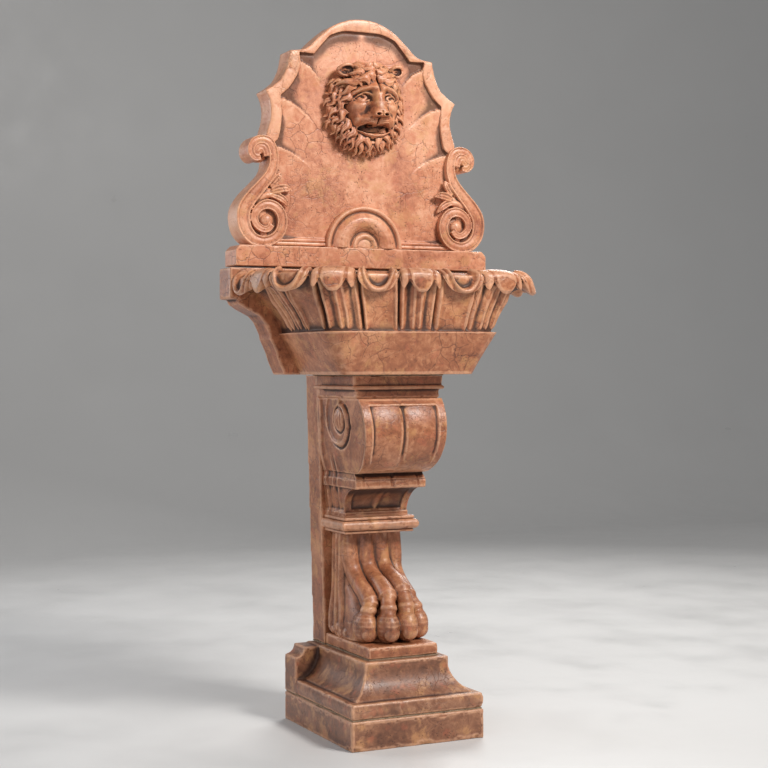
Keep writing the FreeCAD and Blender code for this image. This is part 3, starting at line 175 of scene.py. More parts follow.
class Wire:
    """An output socket that takes part in expressions."""

    def __init__(self, graph, socket):
        self.graph = graph
        self.socket = socket

    def maths(self, operation, first, second):
        return self.graph.node("ShaderNodeMath", {"operation": operation}, {0: first, 1: second})

    def __add__(self, other):
        return self.maths("ADD", self, other)

    __radd__ = __add__

    def __mul__(self, other):
        return self.maths("MULTIPLY", self, other)

    __rmul__ = __mul__

    def __sub__(self, other):
        return self.maths("SUBTRACT", self, other)

    def __rsub__(self, other):
        return self.maths("SUBTRACT", other, self)

    def above(self, edge, width):
        """0 below the edge and 1 past the edge plus the width, with a soft step."""
        settings = {"interpolation_type": "SMOOTHSTEP"}
        values = {"Value": self, "From Min": edge, "From Max": edge + width}
        return self.graph.node("ShaderNodeMapRange", settings, values)


class Graph:
    """The nodes of one material, ending in its main shader."""

    def __init__(self, name):
        self.material = bpy.data.materials.new(name)
        self.material.use_nodes = True
        self.tree = self.material.node_tree
        self.shader = self.tree.nodes["Principled BSDF"]

    def connect(self, socket, value):
        if isinstance(value, Wire):
            self.tree.links.new(value.socket, socket)
        else:
            socket.default_value = value

    def node(self, kind, settings, values, output=0):
        made = self.tree.nodes.new(kind)
        for name, value in settings.items():
            if name == "stops":
                ramp = made.color_ramp
                while len(ramp.elements) < len(value):
                    ramp.elements.new(0.5)
                for element, (position, colour) in zip(ramp.elements, value):
                    element.position = position
                    element.color = colour
            else:
                setattr(made, name, value)
        for name, value in values.items():
            self.connect(made.inputs[name], value)
        return Wire(self, made.outputs[output])

    def mix(self, share, first, second, blend="MIX"):
        """Blend two colours."""
        settings = {"data_type": "RGBA", "blend_type": blend, "clamp_factor": True}
        return self.node("ShaderNodeMix", settings, {0: share, 6: first, 7: second}, 2)

    def noise(self, where, scale, detail=4.0, rough=0.55, twist=0.0):
        values = {"Vector": where, "Scale": scale, "Detail": detail, "Roughness": rough, "Distortion": twist}
        return self.node("ShaderNodeTexNoise", {}, values)

    def finish(self, **sockets):
        for name, value in sockets.items():
            self.connect(self.shader.inputs[name.replace("_", " ")], value)
        return self.material


def tone(red, green, blue):
    """A colour from its 0 to 255 screen values."""
    parts = []
    for value in (red, green, blue):
        share = value / 255
        parts.append(share / 12.92 if share <= 0.04045 else ((share + 0.055) / 1.055) ** 2.4)
    return (*parts, 1)


print("shader maths ready")

# %% [markdown]
# The marble is a warm red limestone that takes a polish. Its ground clouds
# from brown red to salmon and ochre, fine dark veins break it up like old
# glaze, and small pits hold dirt. Carved hollows get painted shade and raised
# edges a painted highlight. Both come from two attributes that each carved
# piece stores, so the painted light follows the carving and not the camera.

# %% Marble


def marble(name, deep, middle, pale, hollow_shade_strength=0.75, vein_share=0.55):
    """A veined marble between three tones, with painted shade in its hollows and a painted highlight on its
    edges.
    """
    graph = Graph(name)
    where = graph.node("ShaderNodeTexCoord", {}, {}, 3)
    drift = graph.noise(where, 5.0, 3.0)
    warp_noise = graph.node("ShaderNodeTexNoise", {}, {"Vector": where, "Scale": 14.0, "Detail": 4.0}, 1)
    warped = graph.node("ShaderNodeVectorMath", {"operation": "MULTIPLY_ADD"},
                        {0: warp_noise, 1: (0.045, 0.045, 0.045), 2: where})
    clouds = graph.noise(warped, 9.0, 6.0, 0.62)
    flecks = graph.noise(warped, 70.0, 5.0, 0.65)
    grains = graph.noise(where, 420.0, 3.0, 0.6)
    share = clouds * 0.56 + drift * 0.16 + flecks * 0.36
    stops = [(0.40, deep), (0.54, middle), (0.68, pale)]
    ground = graph.node("ShaderNodeValToRGB", {"stops": stops}, {"Fac": share})
    ochre = graph.noise(warped, 17.0, 5.0, 0.7)
    ground = graph.mix(ochre.above(0.52, 0.12) * 0.45, ground, tone(205, 150, 98))
    rosy = graph.noise(where, 26.0, 4.0, 0.6)
    ground = graph.mix(rosy.above(0.56, 0.1) * 0.3, ground, tone(190, 104, 74))

    patches = graph.noise(where, 7.5, 2.0).above(0.44, 0.18)
    cracks = graph.node("ShaderNodeTexVoronoi", {"feature": "DISTANCE_TO_EDGE"},
                        {"Vector": warped, "Scale": 24.0, "Randomness": 1.0})
    fine = graph.node("ShaderNodeTexVoronoi", {"feature": "DISTANCE_TO_EDGE"},
                      {"Vector": warped, "Scale": 62.0, "Randomness": 1.0})
    veins = (1 - cracks.above(0.0, 0.035)) * patches
    threads = (1 - fine.above(0.0, 0.05)) * graph.noise(where, 12.0, 2.0).above(0.50, 0.14)
    ground = graph.mix(veins * vein_share + threads * (vein_share * 0.6), ground, tone(84, 42, 30))

    pit_noise = graph.noise(where, 240.0, 2.0, 0.5)
    pits = pit_noise.above(0.63, 0.05) * graph.noise(where, 30.0, 2.0).above(0.46, 0.12)
    ground = graph.mix(pits * 0.7, ground, tone(66, 34, 24))

    hollow = graph.node("ShaderNodeAttribute", {"attribute_name": "hollow"}, {}, 2)
    edge = graph.node("ShaderNodeAttribute", {"attribute_name": "edge"}, {}, 2)
    # Painted shade: the carved hollows, from the hollow attribute, are darkened towards a deep brown, and
    # the same mask roughens them.
    hollow_shade_mask = hollow * (graph.noise(where, 45.0, 4.0) * 0.7 + 0.65)
    ground = graph.mix(hollow_shade_mask.above(0.08, 0.75) * hollow_shade_strength, ground, tone(44, 20, 13))
    # Painted highlight: edges that stand out, from the edge attribute, are lightened towards a pale salmon.
    edge_highlight = edge * (graph.noise(where, 60.0, 4.0) * 1.2 + 0.2)
    ground = graph.mix(edge_highlight.above(0.2, 0.8) * 0.5, ground, tone(232, 178, 142))

    height = flecks * 0.5 + grains * 0.25 - pits * 0.9 - veins * 0.35 - threads * 0.2
    bump = graph.node("ShaderNodeBump", {}, {"Strength": 0.6, "Distance": 0.0022, "Height": height})
    rough = flecks * 0.26 + grains * 0.14 + hollow_shade_mask * 0.35 + pits * 0.2 + 0.22
    graph.shader.inputs["Coat Weight"].default_value = 0.12
    graph.shader.inputs["Coat Roughness"].default_value = 0.22
    return graph.finish(Base_Color=ground, Roughness=rough, Normal=bump)


# The fifth value, 0.75 when left out, sets how strongly painted shade darkens the carved hollows.
panel_marble = marble("panel_marble", tone(158, 90, 62), tone(204, 134, 98), tone(230, 172, 138))
mask_marble = marble("mask_marble", tone(132, 70, 44), tone(194, 120, 82), tone(228, 166, 126), 0.92, 0.4)
basin_marble = marble("basin_marble", tone(112, 60, 38), tone(164, 100, 66), tone(208, 146, 106), 0.9, 0.65)
pedestal_marble = marble("pedestal_marble", tone(104, 58, 38), tone(154, 94, 62), tone(194, 134, 98), 0.9)
base_marble = marble("base_marble", tone(92, 58, 42), tone(132, 86, 62), tone(166, 118, 88), 0.8, 0.4)
marbles = (panel_marble, mask_marble, basin_marble, pedestal_marble, base_marble)
print("marbles", [stone.name for stone in marbles])

# %% [markdown]
# Carving tools. Each stone is first roughed out of plain closed shapes, then
# one remesh melts them into a single skin, as if cut from one block. A light
# smoothing takes the sharpness off, and a little noise chips the edges.

# %% Carving tools


def smooth_shade(thing):
    thing.data.polygons.foreach_set("use_smooth", [True] * len(thing.data.polygons))
    thing.data.update()


def one_skin(thing, voxel, rounds=2, keep=1.0):
    """Melt the closed shapes of one mesh into one skin, smooth it, and thin it."""
    apply_modifier(thing, "REMESH", mode="VOXEL", voxel_size=voxel * MM)
    apply_modifier(thing, "SMOOTH", factor=0.5, iterations=rounds)
    if keep < 1:
        apply_modifier(thing, "DECIMATE", ratio=keep)
    return thing


def corners_of(thing):
    flat = np.empty(len(thing.data.vertices) * 3)
    thing.data.vertices.foreach_get("co", flat)
    return flat.reshape(-1, 3)


def normals_of(thing):
    flat = np.empty(len(thing.data.vertices) * 3)
    thing.data.vertices.foreach_get("normal", flat)
    return flat.reshape(-1, 3)


def set_corners(thing, corners):
    thing.data.vertices.foreach_set("co", corners.ravel())
    thing.data.update()


def relaxed(thing, corners, rounds):
    """The corners after each one has moved to the middle of its neighbours a few times."""
    ends = np.empty(len(thing.data.edges) * 2, dtype=np.int64)
    thing.data.edges.foreach_get("vertices", ends)
    first, second = ends.reshape(-1, 2).T
    count = np.bincount(ends, minlength=len(corners)).reshape(-1, 1)
    moved = corners.copy()
    for step in range(rounds):
        total = np.zeros_like(moved)
        for axis in range(3):
            total[:, axis] = np.bincount(first, moved[second, axis], len(corners))
            total[:, axis] += np.bincount(second, moved[first, axis], len(corners))
        moved = total / np.maximum(count, 1)
    return moved


def hollowness(thing, rounds):
    """Millimetres that the surface lies under its own relaxed form: over 0 in a hollow."""
    corners = corners_of(thing)
    inward = (relaxed(thing, corners, rounds) - corners) * normals_of(thing)
    return inward.sum(axis=1) / MM


def store(thing, name, values):
    attribute = thing.data.attributes.new(name, "FLOAT", "POINT")
    attribute.data.foreach_set("value", np.clip(values, 0, 1))


def weather(thing, chips, seed):
    """Knock small chips out of the edges, deeper where a seeded noise is high."""
    corners = corners_of(thing)
    normals = normals_of(thing)
    edge = np.clip(-hollowness(thing, 3) * 4.0, 0, 1)
    drop = np.zeros(len(corners))
    for index in np.nonzero(edge > 0.15)[0]:
        where = Vector(corners[index]) * 38 + Vector((seed, seed * 2, -seed))
        drop[index] = max(0.0, noise.noise(where) + 0.35 * noise.noise(where * 3.1) - 0.12)
    set_corners(thing, corners - normals * (drop * edge * chips * MM)[:, None])


def finish_stone(thing, material, node, broad=24, deep=2.2):
    """Store where the stone is hollow, for painted shade, and where its edges stand out, for a painted
    highlight, and hand it to the frame.
    """
    smooth_shade(thing)
    # The hollow attribute feeds the marble's painted shade and the edge attribute its painted highlight.
    store(thing, "hollow", hollowness(thing, broad) / deep * 1.2)
    store(thing, "edge", -hollowness(thing, 4) / 0.35)
    thing.data.materials.clear()
    thing.data.materials.append(material)
    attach(thing, "root")
    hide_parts(node)
    triangles = sum(len(polygon.vertices) - 2 for polygon in thing.data.polygons)
    print(thing.name, triangles, "triangles")
    return thing


def copy_of(node, name):
    """A merged copy of a CAD node's mesh, to be carved further."""
    source = frame["nodes"][node]
    twin = source.copy()
    twin.data = source.data.copy()
    twin.name = name
    twin.hide_render = False
    twin.hide_viewport = False
    for key in list(twin.keys()):
        if key.startswith("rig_"):
            del twin[key]
    bpy.context.scene.collection.objects.link(twin)
    world_place = source.matrix_world.copy()
    twin.parent = None
    twin.matrix_world = world_place
    pick(twin)
    bpy.ops.object.transform_apply(location=True, rotation=True, scale=True)
    bpy.ops.object.mode_set(mode="EDIT")
    bpy.ops.mesh.select_all(action="SELECT")
    bpy.ops.mesh.remove_doubles(threshold=0.00001)
    bpy.ops.object.mode_set(mode="OBJECT")
    return twin


print("carving tools ready")

# %% [markdown]
# The base is two stones: a square block and a moulded course with a raised
# board at its back. Their shapes in the frame are right, so a copy of each is
# remeshed finely enough to take rounded, chipped edges.

# %% Base stones
for node, material, voxel, chips, seed in (
    ("base_block", base_marble, 3.2, 2.6, 3),
    ("base_moulding", base_marble, 2.6, 2.0, 7),
    ("back_slab", pedestal_marble, 3.0, 1.8, 11),
):
    stone = copy_of(node, node + "_stone")
    one_skin(stone, voxel, 3)
    weather(stone, chips, seed)
    apply_modifier(stone, "DECIMATE", ratio=0.45)
    finish_stone(stone, material, node, 30, 2.6)

# %% [markdown]
# The basin's bowl is the showpiece. Eleven units run round it: drooping leaves
# with three points take turns with round tongues, each with a raised lip about
# a shallow dish. One grid of rows and columns makes it, because a profile that
# changes along the rim can curl over, hang down and tuck back under, which a
# flat relief can't. The rows climb the band and the flutes, go round the curl
# and down into the bowl. The columns run round the plan.

# %% The bowl's plan and its units
UNITS = 11
UNIT_COLUMNS = 42
BACK_COLUMNS = 34
band_foot, band_top = 906.0, 1010.0
bowl_floor = 975.6


def plan_curve(half, front, back, corner=5.5):
    """Places round a rounded rectangle, equally spaced from right to left by the front."""
    turn = np.linspace(0, math.pi, 1601)
    across = np.sign(np.cos(turn)) * np.abs(np.cos(turn)) ** (2 / corner) * half
    out = back + (front - back) * np.sin(turn).clip(0) ** (2 / corner)
    run = np.concatenate([[0], np.cumsum(np.hypot(np.diff(across), np.diff(out)))])
    steps = np.linspace(0, run[-1], UNITS * UNIT_COLUMNS + 1)
    return np.stack([np.interp(steps, run, across), np.interp(steps, run, out)], axis=1)


columns = np.arange(UNITS * UNIT_COLUMNS + 1)
unit = np.minimum(columns // UNIT_COLUMNS, UNITS - 1)
side = (columns - unit * UNIT_COLUMNS) / UNIT_COLUMNS * 2 - 1
leafy = unit % 2 == 1
reach = np.abs(side)
print(len(columns), "columns,", int(leafy.sum() / UNIT_COLUMNS), "leaves")

# %% [markdown]
# A leaf hangs in a broad middle point and two thin outer ones, with an arch on
# each side. A tongue hangs in a plain round U. The height of the lower edge
# along each unit gives both.

# %% The curl's lower edge
leaf_edge = np.interp(reach, [0, 0.20, 0.38, 0.50, 0.58, 0.68, 0.80, 0.92, 1.0],
                      [1107, 1109, 1120, 1131, 1132, 1125, 1114, 1118, 1144])
tongue_edge = 1106 + 40 * reach ** 3.2
edge_up = np.where(leafy, leaf_edge, tongue_edge)

foot_plan = plan_curve(186, 387, 112, 16)
band_plan = plan_curve(243, 426, 112, 13)
flute_plan = plan_curve(236, 419, 112, 10)
rim_plan = plan_curve(363, 452, 112, 6.5)
lip_plan = plan_curve(329, 424, 118, 6.5)
wall_plan = plan_curve(276, 392, 134)
floor_plan = plan_curve(176, 360, 134)
last_plan = plan_curve(160, 346, 134)


def between(first, second, share):
    share = np.asarray(share, dtype=float)
    if share.ndim:
        share = share[:, None]
    return first + (second - first) * share


def level(plan, up):
    """A key row: a plan at a height, or at a height for each column."""
    return np.column_stack([plan, np.broadcast_to(up, len(columns))])


tuck = np.minimum(edge_up + 14, 1148)
keys = [
    (level(foot_plan, band_foot), 2, 0),
    (level(between(foot_plan, band_plan, 0.04), band_foot + 4), 22, 0),
    (level(between(foot_plan, band_plan, 0.97), band_top - 3), 2, 0),
    (level(band_plan, band_top), 2, 0),
    (level(between(band_plan, flute_plan, 0.9), band_top + 2), 2, 0),
    (level(flute_plan, band_top + 7), 5, 0.3),
    (level(between(flute_plan, rim_plan, 0.07), 1031), 6, 1),
    (level(between(flute_plan, rim_plan, 0.16), 1050), 6, 1),
    (level(between(flute_plan, rim_plan, 0.29), 1072), 6, 1),
    (level(between(flute_plan, rim_plan, 0.43), 1092), 7, 1),
    (level(between(flute_plan, rim_plan, 0.60), tuck - (tuck - 1092) * 0.25), 6, 0.6),
    (level(between(flute_plan, rim_plan, 0.74), tuck), 5, 0.0),
    (level(between(flute_plan, rim_plan, 0.90), edge_up + 5), 4, 0.0),
    (level(between(flute_plan, rim_plan, 0.99), edge_up), 4, 0.0),
    (level(between(flute_plan, rim_plan, 1.02), edge_up + 6), 9, 0.0),
    (level(between(flute_plan, rim_plan, 1.02), edge_up * 0.5 + 570), 8, 0.0),
    (level(between(flute_plan, rim_plan, 0.97), 1149), 7, 0.0),
    (level(between(rim_plan, lip_plan, 0.45), 1158), 7, 0.0),
    (level(between(rim_plan, lip_plan, 0.85), 1161), 7, 0.0),
    (level(lip_plan, 1156), 7, 0.0),
    (level(between(lip_plan, wall_plan, 0.5), 1143), 9, 0.0),
    (level(wall_plan, 1112), 14, 0.0),
    (level(between(wall_plan, floor_plan, 0.4), 1050), 12, 0.0),
    (level(between(wall_plan, floor_plan, 0.85), 996), 6, 0.0),
    (level(floor_plan, bowl_floor + 6), 5, 0.0),
    (level(last_plan, bowl_floor), 1, 0.0),
]
print(len(keys), "key rows")

# %% [markdown]
# The rows between the key rows follow a smooth spline through them. The relief
# then moves each corner in or out: ridges and gaps along the flutes, a swell
# on each leaf, and the dish and lip of each tongue.

# %% The bowl's grid


def spline_rows(keys):
    """Rows through the key rows, with how much each one takes of the flutes' relief."""
    places = [key[0] for key in keys]
    rows, shares, along = [], [], []
    for index in range(len(keys) - 1):
        before = places[max(index - 1, 0)]
        start, end = places[index], places[index + 1]
        after = places[min(index + 2, len(keys) - 1)]
        reach_before = np.linalg.norm(start - before, axis=1, keepdims=True)
        reach_here = np.linalg.norm(end - start, axis=1, keepdims=True)
        reach_after = np.linalg.norm(after - end, axis=1, keepdims=True)
        pull_in = np.minimum(reach_here / np.maximum(reach_before + reach_here, 1e-6), 0.5) * (end - before)
        pull_out = np.minimum(reach_here / np.maximum(reach_after + reach_here, 1e-6), 0.5) * (after - start)
        count = keys[index][1]
        for step in range(count):
            part = step / count
            weights = (2 * part ** 3 - 3 * part ** 2 + 1, part ** 3 - 2 * part ** 2 + part,
                       3 * part ** 2 - 2 * part ** 3, part ** 3 - part ** 2)
            rows.append(weights[0] * start + weights[1] * pull_in + weights[2] * end + weights[3] * pull_out)
            shares.append(keys[index][2] * (1 - part) + keys[index + 1][2] * part)
            along.append(index + part)
    rows.append(places[-1])
    shares.append(0)
    along.append(len(keys) - 1)
    return np.array(rows), np.array(shares), np.array(along)


def hump(values, middle, width):
    return np.exp(-((values - middle) / width) ** 2)


rows, flute_share, row_key = spline_rows(keys)
outward = rim_plan - np.array([[0, 150.0]])
outward[:, 0] *= 0.8
outward /= np.linalg.norm(outward, axis=1, keepdims=True)

leaf_flute = 6.0 * hump(reach, 0.82, 0.09) + 5.5 * hump(reach, 0.18, 0.11) - 3.5 * hump(reach, 0.5, 0.14) - 2
tongue_flute = 8.0 * hump(reach, 0.84, 0.10) - 4.0 * (1 - reach ** 2).clip(0) + 1
flute_relief = np.where(leafy, leaf_flute, tongue_flute) - 16.0 * hump(reach, 1.0, 0.085)

curl = np.interp(row_key, [11, 13, 14, 17, 18.5, 20], [0, 0.6, 1, 1, 0.8, 0])
upturn = np.interp(row_key, [13, 14.5, 16, 17.5, 21], [-0.5, 0.0, 0.25, 0.95, 0.9])
height = rows[:, :, 2]
leaf_swell = 11.0 * np.sqrt((1 - reach ** 2).clip(0)) - 5.0
line_fade = np.interp(row_key, [13, 14, 16, 18], [1, 1, 0.55, 0])
leaf_lines = 4.6 * hump(reach, 0.57, 0.07)[None, :] * line_fade[:, None]
drop = (1168 - height) / 62.0
round_place = np.sqrt((side[None, :] / 0.74) ** 2 + (drop / 1.0) ** 2)
dish = -8.0 * (1 - 1 / (1 + np.exp(-(round_place - 0.80) / 0.028)))
lip = 5.5 * hump(round_place, 0.93, 0.085) - 2.2 * hump(round_place, 1.09, 0.04)
tongue_relief = dish + lip + 2.0
leaf_relief = leaf_swell[None, :] - leaf_lines
relief = np.where(leafy[None, :], leaf_relief, tongue_relief) - 12.0 * hump(reach, 1.0, 0.07)[None, :]
relief = relief * curl[:, None] + flute_relief[None, :] * flute_share[:, None]
rows[:, :, :2] += outward[None] * (relief * np.cos(upturn * math.pi / 2)[:, None])[:, :, None]
rows[:, :, 2] += relief * np.sin(upturn * math.pi / 2)[:, None]
print(rows.shape[0], "rows")

# %% Close the bowl's rings across the back and make the mesh
shares = np.linspace(0, 1, BACK_COLUMNS + 2)[1:-1]
backs = rows[:, -1:, :] * (1 - shares)[None, :, None] + rows[:, :1, :] * shares[None, :, None]
rings = np.concatenate([rows, backs], axis=1)


def in_triangles(thing, cut):
    """Turn every face outwards and cut it into triangles."""
    pick(thing)
    bpy.ops.object.mode_set(mode="EDIT")
    bpy.ops.mesh.select_all(action="SELECT")
    bpy.ops.mesh.normals_make_consistent(inside=False)
    bpy.ops.mesh.quads_convert_to_tris(quad_method="BEAUTY", ngon_method=cut)
    bpy.ops.object.mode_set(mode="OBJECT")
    return thing


def ring_mesh(name, rings):
    """A closed skin from a stack of rings of places in millimetres."""
    count, around = rings.shape[:2]
    flat = rings.reshape(-1, 3)
    corners = np.column_stack([flat[:, 0] * MM, wall_y - flat[:, 1] * MM, flat[:, 2] * MM])
    first = np.arange(count * around).reshape(count, around)
    across = np.roll(first, -1, axis=1)
    quads = np.stack([first[:-1], across[:-1], across[1:], first[1:]], axis=-1).reshape(-1, 4)
    faces = [tuple(quad) for quad in quads.tolist()]
    faces.append(tuple(reversed(first[0].tolist())))
    faces.append(tuple(first[-1].tolist()))
    return in_triangles(mesh_piece(name, corners.tolist(), faces), "BEAUTY")


bowl = ring_mesh("basin_bowl", rings)
weather(bowl, 1.2, 17)
finish_stone(bowl, basin_marble, "basin", 30, 4.0)

# %% [markdown]
# Behind the bowl stands the square rail, and under it a slab whose edge swings
# in from the rail to the foot in a long ogee with a small quirk. It is a flat
# outline with a thickness, melted so that its corners wear round.

# %% The rail and the slab behind the bowl


def sheet_of(name, outline, back, front):
    """A closed block between two depths from a front outline in millimetres."""
    count = len(outline)
    corners = [tuple(place(x, depth, z)) for depth in (back, front) for x, z in outline]
    faces = [tuple(range(count)), tuple(reversed(range(count, 2 * count)))]
    for index in range(count):
        after = (index + 1) % count
        faces.append((index, index + count, after + count, after))
    return in_triangles(mesh_piece(name, corners, faces), "CLIP")


slab_right = [(374, 1176), (374, 1098), (354, 1096), (351, 1085), (330, 1072), (296, 1055), (280, 1034),
              (268, 1009), (266, 996), (260, 984), (250, 962), (246, 948), (239, 930), (234, 920),
              (228, band_foot)]
slab_outline = slab_right + [(-x, z) for x, z in reversed(slab_right)]
rear = sheet_of("basin_rail", slab_outline, stand_off, rail_front)
one_skin(rear, 2.8, 3)
weather(rear, 2.2, 23)
apply_modifier(rear, "DECIMATE", ratio=0.5)
finish_stone(rear, basin_marble, "basin", 26, 2.6)

# %% [markdown]
# The back panel is one slab with a raised border, and its sunk field is cut
# like a scallop shell: each lobe starts at a cusp of the border and rises over
# the lobe above it. A grid of rings round one middle follows the outline
# closely, so the border stays crisp and the field takes the soft relief.

# %% The panel's outline
half_outline = [
    (0, 1830), (20, 1829), (39, 1826), (64, 1817), (88, 1805), (114, 1784), (137, 1763), (149, 1751),
    (161, 1743), (173, 1739), (186, 1737), (204, 1735), (205, 1726), (207, 1717), (209, 1705), (213, 1691),
    (221, 1673), (231, 1657), (251, 1641), (272, 1628), (266, 1618), (261, 1606), (258, 1592), (257, 1579),
    (258, 1563), (261, 1548), (266, 1532), (271, 1516), (263, 1490), (262, 1455), (266, 1432), (284, 1400),
    (290, 1350), (292, 1300), (286, 1260)]
half_outline += [(x, ledge_top + 2) for x in range(286, -1, -11)]
half_inner = [
    (0, 1797), (20, 1797), (38, 1797), (54, 1796), (73, 1790), (93, 1781), (109, 1764), (124, 1747),
    (137, 1731), (156, 1731), (179, 1730), (176, 1714), (176, 1696), (184, 1674), (195, 1656), (208, 1638),
    (231, 1617), (229, 1604), (228, 1586), (227, 1568), (229, 1548), (232, 1528), (236, 1512), (240, 1504),
    (251, 1494), (250, 1480), (250, 1455), (252, 1432), (262, 1400), (270, 1350), (272, 1300), (270, 1262)]
half_inner += [(x, ledge_top + 11) for x in range(270, -1, -10)]
PANEL_COLUMNS = 560
panel_middle = np.array([0.0, 1300.0])


def reach_round(half, turns):
    """How far a mirrored outline lies from the panel's middle in each direction."""
    outline = np.array(half + [(-x, z) for x, z in reversed(half)]) - panel_middle
    angle = np.arctan2(outline[:, 0], outline[:, 1])
    order = np.argsort(angle)
    angle, outline = angle[order], outline[order]
    distance = np.hypot(outline[:, 0], outline[:, 1])
    return np.interp(turns, angle, distance, period=2 * math.pi)


corner_turns = np.array([math.atan2(x, z - panel_middle[1]) for x, z in half_outline])
corner_turns = np.concatenate([-corner_turns[::-1], corner_turns, [math.pi]])
corner_turns = np.unique(np.round(corner_turns, 5))
shares = np.linspace(0, len(corner_turns) - 1, PANEL_COLUMNS, endpoint=False)
turns = np.interp(shares, np.arange(len(corner_turns)), corner_turns)
outer_reach = reach_round(half_outline, turns)
inner_reach = np.minimum(reach_round(half_inner, turns), outer_reach - 8)
print(len(turns), "directions")

# %% [markdown]
# The shell's creases are short curves from each cusp towards the mask. The
# relief near one depends on the distance to it and on the side: the lower lobe
# rises gently to the crease, and beyond it the ground drops.

# %% The shell relief
creases = [
    ([(184, 1714), (166, 1707), (151, 1699), (133, 1682), (120, 1664), (110, 1645)], 13.0),
    ([(236, 1615), (217, 1609), (193, 1599), (172, 1584), (152, 1566), (130, 1546)], 12.0),
    ([(256, 1492), (224, 1484), (200, 1474), (182, 1465), (160, 1449), (140, 1430)], 9.0),
]


def crease_relief(x, z):
    """The height of the shell's lobes at places on the field."""
    total = np.zeros_like(x)
    away = np.hypot(x, 22.0)
    for line, rise in creases:
        nearest = np.full(x.shape, 1e9)
        side = np.zeros_like(x)
        part = np.zeros_like(x)
        for index in range(len(line) - 1):
            (x0, z0), (x1, z1) = line[index], line[index + 1]
            run_x, run_z = x1 - x0, z1 - z0
            length = math.hypot(run_x, run_z)
            share = (((away - x0) * run_x + (z - z0) * run_z) / length ** 2).clip(0, 1)
            gap_x, gap_z = away - x0 - share * run_x, z - z0 - share * run_z
            gap = np.hypot(gap_x, gap_z)
            closer = gap < nearest
            nearest = np.where(closer, gap, nearest)
            turned = (run_x * gap_z - run_z * gap_x) / length
            side = np.where(closer, turned, side)
            part = np.where(closer, (index + share) / (len(line) - 1), part)
        fade = (1 - part) ** 1.2
        rising = np.exp(-np.abs(nearest) / 58.0)
        falling = np.exp(-np.abs(nearest) / 26.0)
        total += fade * rise * np.where(side > 0, 0.62 * rising, -0.24 * falling)
    return total


border_front, field_front = 117.0, 109.5
panel_rows = []
for share in np.linspace(0.05, 0.995, 24):
    panel_rows.append((share * outer_reach, np.full(PANEL_COLUMNS, stand_off)))
for depth in (48.5, 60, 75, 90, 103, 112.5):
    panel_rows.append((outer_reach, np.full(PANEL_COLUMNS, depth)))
for inset, depth in ((0.5, 115.2), (1.8, 116.7), (3.6, 117.4)):
    panel_rows.append((outer_reach - inset, np.full(PANEL_COLUMNS, depth)))
width = outer_reach - inner_reach
for share, rise in ((0.3, 0.9), (0.5, 1.3), (0.7, 0.9), (0.86, 0.4)):
    panel_rows.append((outer_reach - width * share, np.full(PANEL_COLUMNS, border_front + rise)))
for inset, depth in ((1.5, 117.2), (0.4, 116.2), (-0.4, 114.0)):
    panel_rows.append((inner_reach + inset, np.full(PANEL_COLUMNS, depth)))
for share in np.concatenate([[0.995, 0.985, 0.97], np.linspace(0.955, 0.1, 104)]):
    distance = inner_reach * share
    x = np.sin(turns) * distance
    z = panel_middle[1] + np.cos(turns) * distance
    strip = 4.5 / (1 + np.exp((z - ledge_top - 21) / 1.2))
    edge_fall = -2.5 * np.exp(-(1 - share) * inner_reach / 5.0)
    swell = 3.0 * np.exp(-((z - 1330) / 110.0) ** 2) * np.exp(-(x / 190.0) ** 2)
    panel_rows.append((distance, field_front + crease_relief(x, z) + strip + edge_fall + swell))
panel_rings = []
for reach_now, depth in panel_rows:
    across = np.sin(turns) * reach_now
    up = panel_middle[1] + np.cos(turns) * reach_now
    panel_rings.append(np.column_stack([across, depth, up]))
print(len(panel_rows), "rings")

# %% Make the panel
panel = ring_mesh("panel_field", np.array(panel_rings))
weather(panel, 1.8, 31)
finish_stone(panel, panel_marble, "back_panel", 34, 2.6)

# %% [markdown]
# Half a round boss rises from the ledge where the shell's lobes would meet: a
# rounded rim, a hollow ring between swellings and a button in the middle. It is
# a profile spun about an axis that points at the viewer.

# %% The shell's boss


def spun(name, middle, profile, steps=96):
    """A round piece from (radius, depth) steps, its axis pointing forwards."""
    bpy.ops.object.select_all(action="DESELECT")
    corners = [tuple(place(middle[0] + radius, depth, middle[1])) for radius, depth in profile]
    thing = mesh_piece(name, corners, [])
    thing.data.edges.add(len(corners) - 1)
    for index, edge in enumerate(thing.data.edges):
        edge.vertices = (index, index + 1)
    pick(thing)
    bpy.ops.object.mode_set(mode="EDIT")
    bpy.ops.mesh.select_all(action="SELECT")
    bpy.ops.mesh.spin(steps=steps, angle=2 * math.pi, center=place(middle[0], 0, middle[1]), axis=(0, 1, 0))
    bpy.ops.mesh.select_all(action="SELECT")
    bpy.ops.mesh.remove_doubles(threshold=0.00005)
    bpy.ops.mesh.normals_make_consistent(inside=False)
    bpy.ops.object.mode_set(mode="OBJECT")
    return thing


boss_profile = [(0, 96), (0, 127), (8, 126.8), (16, 126), (22, 124.5), (26, 127.5), (30, 129), (34, 127.5),
                (37, 122), (39, 118.5), (42, 121), (48, 127), (56, 131.5), (66, 133.5), (76, 132), (84, 127),
                (90, 121.5), (93, 119.5), (95, 123), (98, 127), (102, 128.5), (106, 126.5), (108.5, 121),
                (109, 110), (109, 96), (0, 96)]
boss = spun("shell_boss", (0, ledge_top + 2), boss_profile)
bpy.ops.object.mode_set(mode="EDIT")
bpy.ops.mesh.select_all(action="SELECT")
cut_at = place(0, 0, ledge_top - 0.5)
bpy.ops.mesh.bisect(plane_co=cut_at, plane_no=(0, 0, 1), use_fill=True, clear_inner=True)
bpy.ops.object.mode_set(mode="OBJECT")
one_skin(boss, 2.0, 2)
weather(boss, 1.2, 37)
apply_modifier(boss, "DECIMATE", ratio=0.6)
finish_stone(boss, panel_marble, "back_panel", 20, 2.0)

